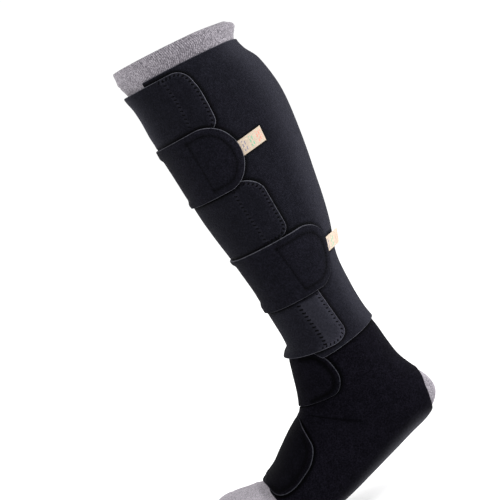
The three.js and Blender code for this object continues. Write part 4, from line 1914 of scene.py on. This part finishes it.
        def under(along: Array, angle: Array) -> Array:
            """The height at heights along and angles round the leg."""
            past_seam = ramp(angle, self.seam, self.seam + 2.0 * self.climb)
            on_cloth = np.where(angle < 0, 1.0 - past_seam, self.over_front_edge(angle))
            height = self.under_panel(along, angle) + LAYERS.ease + LAYERS.calf * on_cloth
            height = height + self.over_hook(along, angle, strap.hook_start, outline)
            for tab in tabs:
                past_end = ramp(angle, max(tab.end), max(tab.end) + self.climb)
                present = np.where(angle < 0, past_seam, 1.0 - past_end)
                lift = LAYERS.calf - self.squeeze
                lift = lift + self.over_hook(along, angle, tab.hook_start, self.tab_outline(tab))
                height = height + self.beside(tab, strap, along, angle) * present * lift
            return height
        return under

    def strap_edge_shadow(self, along: Array, angle: Array) -> Array:
        """How much painted shadow falls beside the edges of the straps."""
        edges = [painted_edge_shadow(self.strap_outline(strap).inside(along, angle)) for strap in self.straps]
        return np.maximum.reduce(edges)

    def panel_painted_shading(self, along: Array, angle: Array) -> Array:
        """Painted shadow beside all that lies on the panel, less painted light at its hem and its back."""
        tabs = [painted_edge_shadow(self.tab_outline(tab).inside(along, angle)) for tab in self.tabs]
        insides = [self.label_inside(strap)(along, angle) for strap in self.straps]
        labels = [self.label_painted_shadow * painted_edge_shadow(inside, self.label_shadow_width) for inside in insides]
        hem = self.hem_painted_light * ramp(along, *self.hem_light_reach)
        back = self.back_painted_light * ramp(angle, *self.back_outer) * ramp(angle, *self.back_inner)
        return np.maximum.reduce([*tabs, *labels, self.strap_edge_shadow(along, angle)]) - hem - back

    def inside_panel(self, along: Array, angle: Array) -> Array:
        """How far points lie inside the panel's edge, from their heights and angles."""
        per_degree = FORM.girth_per_degree(CALF_HEM.height)
        from_front = (angle - self.front_edge) * per_degree
        cut = np.array([(self.hem_cut_end - self.front_edge) * per_degree, self.hem_cut[1] - self.hem_cut[0]])
        from_cut = (from_front * cut[1] - (along - self.hem_cut[0]) * cut[0]) / np.hypot(*cut)
        rim = self.top + self.rim_dip * hump(angle, self.rim_dip_angle, self.rim_dip_width)
        return np.minimum.reduce([from_front, CALF_HEM.at(angle) - along, from_cut, along - rim,
                                  (FULL_TURN + self.seam - angle) * per_degree])

    def panel_relief(self, along: Array, angle: Array) -> Array:
        """Slight swells of the panel, less where something lies on it."""
        shows = ramp(angle, *self.swell_start) * (1.0 - ramp(along, *self.swell_end))
        return shows * self.panel_ripple.around(along, angle)

    def build(self, shop: Workshop) -> None:
        """Makes the panel, the tabs, the straps, the labels and the patches."""
        panel = Cloth("calf_panel_cloth", (self.front_edge, FULL_TURN + self.seam),
                      (self.top, CALF_HEM.height + CALF_HEM.drop), self.inside_panel, self.under_panel,
                      LAYERS.calf_foam, relief=self.panel_relief, painted_shade=self.panel_painted_shading)
        fit(panel.build(shop.calf), "calf_panel", panel.cut_size())
        for tab in self.tabs:
            self.build_tab(tab, shop)
        for strap in self.straps:
            self.build_strap(strap, shop)

    def build_tab(self, tab: CalfTab, shop: Workshop) -> None:
        """Makes a tab and its hook patch.

        Args:
            tab: the tab.
            shop: the finishes.
        """
        end = self.tab_outline(tab)
        start = min(tab.end) - tab.stitch_from_end / end.per_degree
        edge = StitchLine(replace(TAB_EDGE_SEAM, thread=tab.edge_thread),
                          *end.inset(self.edge_inset, tab.hook_start).free_path(start))
        cross = StitchLine(replace(TAB_CROSS_SEAM, thread=tab.cross_thread, width=tab.cross_width),
                           *end.cross_path(tab.stitch_from_end, self.seam_margin))
        root = root_line(self.seam + self.seam_stitch, tab.top + self.seam_margin,
                         tab.bottom[0] - self.seam_margin)
        cloth = Cloth(f"{tab.name}_cloth", (end.root, end.tip), (min(end.upper), max(tab.bottom)), end.inside,
                      self.under_tab(tab), LAYERS.calf_foam, lines=[edge, cross, root],
                      relief=self.tab_relief(tab), squeezed=self.squeezed, painted_shade=self.tab_painted_shading(tab, cross))
        fit(cloth.build(shop.calf), tab.name, cloth.cut_size(),
            cloth.sew(shop.thread))
        span = (tab.hook_start, min(tab.end) - self.hook_inset / end.per_degree)
        reach = (tab.top + self.hook_inset, min(tab.bottom[1] - self.hook_inset, self.hook_lowest))
        patch = hook_patch(tab.hook, span, reach, self.on_panel, end, self.hook_inset)
        fit(patch.build(shop.hooks), tab.hook, patch.cut_size())

    def tab_painted_shading(self, tab: CalfTab, cross: StitchLine) -> Field:
        """A tab's painted shadow beside the straps and its even darkening, less painted light at the shin and
        past its cross seam.

        Args:
            tab: the tab.
            cross: its cross seam.

        Returns:
            The painted shading, as a field.
        """
        def nap(along: Array, angle: Array) -> Array:
            """The painted shading at heights along and angles round the leg."""
            shin = tab.shin_painted_light * hump(angle, self.shin_light_angle, self.shin_light_width)
            from_seam = angle - np.interp(along, cross.alongs, cross.angles)
            end = tab.end_painted_light * ramp(from_seam, *self.end_light_reach)
            return self.strap_edge_shadow(along, angle) + tab.nap - shin - end
        return nap

    def tab_relief(self, tab: CalfTab) -> Field:
        """Slight swells of a tab, its lift over the shin, and the lip where its hem turns out."""
        ripple = replace(self.tab_ripple, seed=tab.top)

        def relief(along: Array, angle: Array) -> Array:
            """The height at heights along and angles round the leg."""
            from_shin = np.abs(angle)
            shin = (1.0 - ramp(from_shin, *self.shin_fade)) * ramp(along, *self.shin_foot)
            shin = shin * (tab.shin_lift + tab.rim_lift * ramp(along, tab.top + self.rim_run, tab.top))
            lip = ramp(along, tab.bottom[1] - self.lip_run, tab.bottom[1])
            lip = tab.lip * lip * (1.0 - ramp(from_shin, *self.lip_fade))
            return ripple.above(along, angle) + shin + lip
        return relief

    def build_strap(self, strap: Strap, shop: Workshop) -> None:
        """Makes a strap, its hook patch and its label.

        Args:
            strap: the strap.
            shop: the finishes.
        """
        end = self.strap_outline(strap)
        patch_edge = end.inset(self.hook_inset, strap.hook_start)
        outline = patch_edge.free_path(strap.patch_start[0])
        outline[0][-1] = strap.patch_start[1]
        back = np.array([patch_edge.upper[0], patch_edge.lower[0]])
        lines = [
            StitchLine(STRAP_PATCH_SEAM, *outline),
            StitchLine(STRAP_BACK_SEAM, np.array(strap.patch_start), back),
            root_line(self.strap_root + self.root_inset / end.per_degree, strap.top + self.root_margin,
                      strap.bottom - self.root_margin),
        ]
        cloth = Cloth(f"{strap.name}_cloth", (self.strap_root, strap.end), (strap.top, strap.bottom),
                      end.inside, self.under_strap(strap), LAYERS.calf_foam, lines=lines,
                      relief=replace(self.strap_ripple, seed=strap.top).above)
        fit(cloth.build(shop.strap), strap.name, cloth.cut_size(),
            cloth.sew(shop.thread))
        inner = end.inset(self.hook_inset + self.hook_spare, strap.hook_start)
        hooks = hook_tape(strap.hook, (strap.hook_start, inner.tip), (inner.upper[0], inner.lower[0]),
                          inner.inside, self.on_panel)
        fit(hooks.build(shop.hooks), strap.hook, hooks.cut_size())
        self.build_label(strap, shop)

    def label_span(self, strap: Strap) -> tuple[float, float]:
        """The angles where a label starts, under its strap, and where it ends."""
        per_degree = self.strap_outline(strap).per_degree
        return strap.end - self.label_tuck / per_degree, strap.end + self.label_length / per_degree

    def label_inside(self, strap: Strap) -> Field:
        """The outline of a label."""
        per_degree = self.strap_outline(strap).per_degree
        start, stop = self.label_span(strap)
        top, bottom = strap.label_reach

        def inside(along: Array, angle: Array) -> Array:
            """How far points lie inside the label's edge."""
            ends = np.minimum(angle - start, stop - angle) * per_degree
            height = along + self.label_rise * (angle - start) / (stop - start)
            return np.minimum(ends, np.minimum(height - top, bottom - height))
        return inside

    def build_label(self, strap: Strap, shop: Workshop) -> None:
        """Makes the ribbon label under a strap's end.

        Args:
            strap: the strap.
            shop: the finishes.
        """
        start, stop = self.label_span(strap)
        top, bottom = strap.label_reach

        def curl(along: Array, angle: Array) -> Array:
            """How far the label stands off the panel, up to its curl at the free end."""
            rise = 2.0 * strap.label_curl * ramp(angle, strap.end, 2.0 * stop - strap.end)
            return np.broadcast_to(rise, np.broadcast(along, angle).shape)

        label = Cloth(f"{strap.label}_ribbon", (start, stop), (top - self.label_rise, bottom),
                      self.label_inside(strap), self.on_panel, LAYERS.ribbon, step=0.9, edge_round=0.2,
                      inner_round=0.1, relief=curl, slant=self.label_rise, levels=(0.5, 0.2, 0.0))
        fit(label.build(shop.ribbon), strap.label, label.cut_size())


# The studio.


@dataclass(frozen=True)
class SoftLight:
    """A large soft light, placed by its direction from the wrap."""

    name: str
    towards: tuple[float, float, float]
    distance: float
    size: float
    power: float


@dataclass
class Studio:
    """A pale floor, soft lights and a camera at the photograph's angle."""

    aim: tuple[float, float, float] = (0.0, -28.6, -193.6)
    elevation: float = 6.0
    roll: float = 30.0
    distance: float = 1400.0
    focal_pixels: float = 1400.0
    image_pixels: float = 500.0
    sensor: float = 36.0
    near_clip: float = 0.01
    floor_size: float = 12.0
    floor_drop: float = 0.004
    sky: Colour = (1.0, 1.0, 1.0)
    sky_strength: float = 1.05
    lights: tuple[SoftLight, ...] = (
        SoftLight("key_light", (0.75, -0.25, 0.75), 1.6, 1.1, 6.5),
        SoftLight("back_light", (0.30, 0.95, 0.25), 1.4, 1.0, 28.0),
        SoftLight("inner_light", (-0.9, -0.2, 0.4), 1.7, 1.2, 7.0),
        SoftLight("front_light", (0.1, -0.95, 0.4), 1.7, 1.2, 3.0),
    )

    def build(self) -> None:
        """Makes the floor, the lights, the sky and the camera."""
        self.build_floor()
        for light in self.lights:
            self.build_light(light)
        self.build_sky()
        self.build_camera()

    def build_floor(self) -> None:
        """Makes a wide floor just under the wrap."""
        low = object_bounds()[0].z - self.floor_drop
        half = self.floor_size / 2.0
        corners = [(-half, -half, low), (half, -half, low), (half, half, low), (-half, half, low)]
        make_object("studio_floor", np.array(corners) / MM, [(0, 1, 2, 3)], FLOOR.material())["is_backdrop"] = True

    def build_light(self, light: SoftLight) -> None:
        """Makes one soft light that faces the wrap."""
        aim = Vector(self.aim) * MM
        lamp = bpy.data.lights.new(light.name, "AREA")
        lamp.shape = "DISK"
        lamp.size = light.size
        lamp.energy = light.power
        made = bpy.data.objects.new(light.name, lamp)
        direction = Vector(light.towards).normalized()
        made.location = aim + direction * light.distance
        made.rotation_euler = direction.to_track_quat("Z", "Y").to_euler()
        bpy.context.scene.collection.objects.link(made)

    def build_sky(self) -> None:
        """Makes an even white surround, shown without a film curve."""
        bpy.context.scene.view_settings.view_transform = "Standard"
        world = bpy.data.worlds.new("studio_sky")
        world.use_nodes = True
        ground = world.node_tree.nodes["Background"]
        ground.inputs["Color"].default_value = (*self.sky, 1.0)
        ground.inputs["Strength"].default_value = self.sky_strength
        bpy.context.scene.world = world

    def build_camera(self) -> None:
        """Makes the camera, which looks at the outer side of the leg and is rolled as in the photograph."""
        rise, roll = math.radians(self.elevation), math.radians(self.roll)
        back = Vector((math.cos(rise), 0.0, math.sin(rise)))
        across = Vector((0.0, 0.0, 1.0)).cross(back).normalized()
        upright = back.cross(across)
        right = across * math.cos(roll) - upright * math.sin(roll)
        up = across * math.sin(roll) + upright * math.cos(roll)
        lens = bpy.data.cameras.new("photo_camera")
        lens.sensor_fit = "HORIZONTAL"
        lens.sensor_width = self.sensor
        lens.lens = self.focal_pixels / self.image_pixels * self.sensor
        lens.clip_start = self.near_clip
        camera = bpy.data.objects.new("photo_camera", lens)
        place = (Vector(self.aim) + back * self.distance) * MM
        camera.matrix_world = Matrix.Translation(place) @ Matrix((right, up, back)).transposed().to_4x4()
        bpy.context.scene.collection.objects.link(camera)
        bpy.context.scene.camera = camera


def main() -> None:
    """Builds the sock, the foot wrap, the calf wrap and the studio, in that order."""
    logging.basicConfig(level=logging.INFO, format="%(name)s: %(message)s")
    shop = Workshop.stocked()
    LinerSock().build(shop)
    calf = CalfWrap()
    calf.foot.build(shop)
    calf.build(shop)
    Studio().build()


if __name__ == "__main__":
    main()
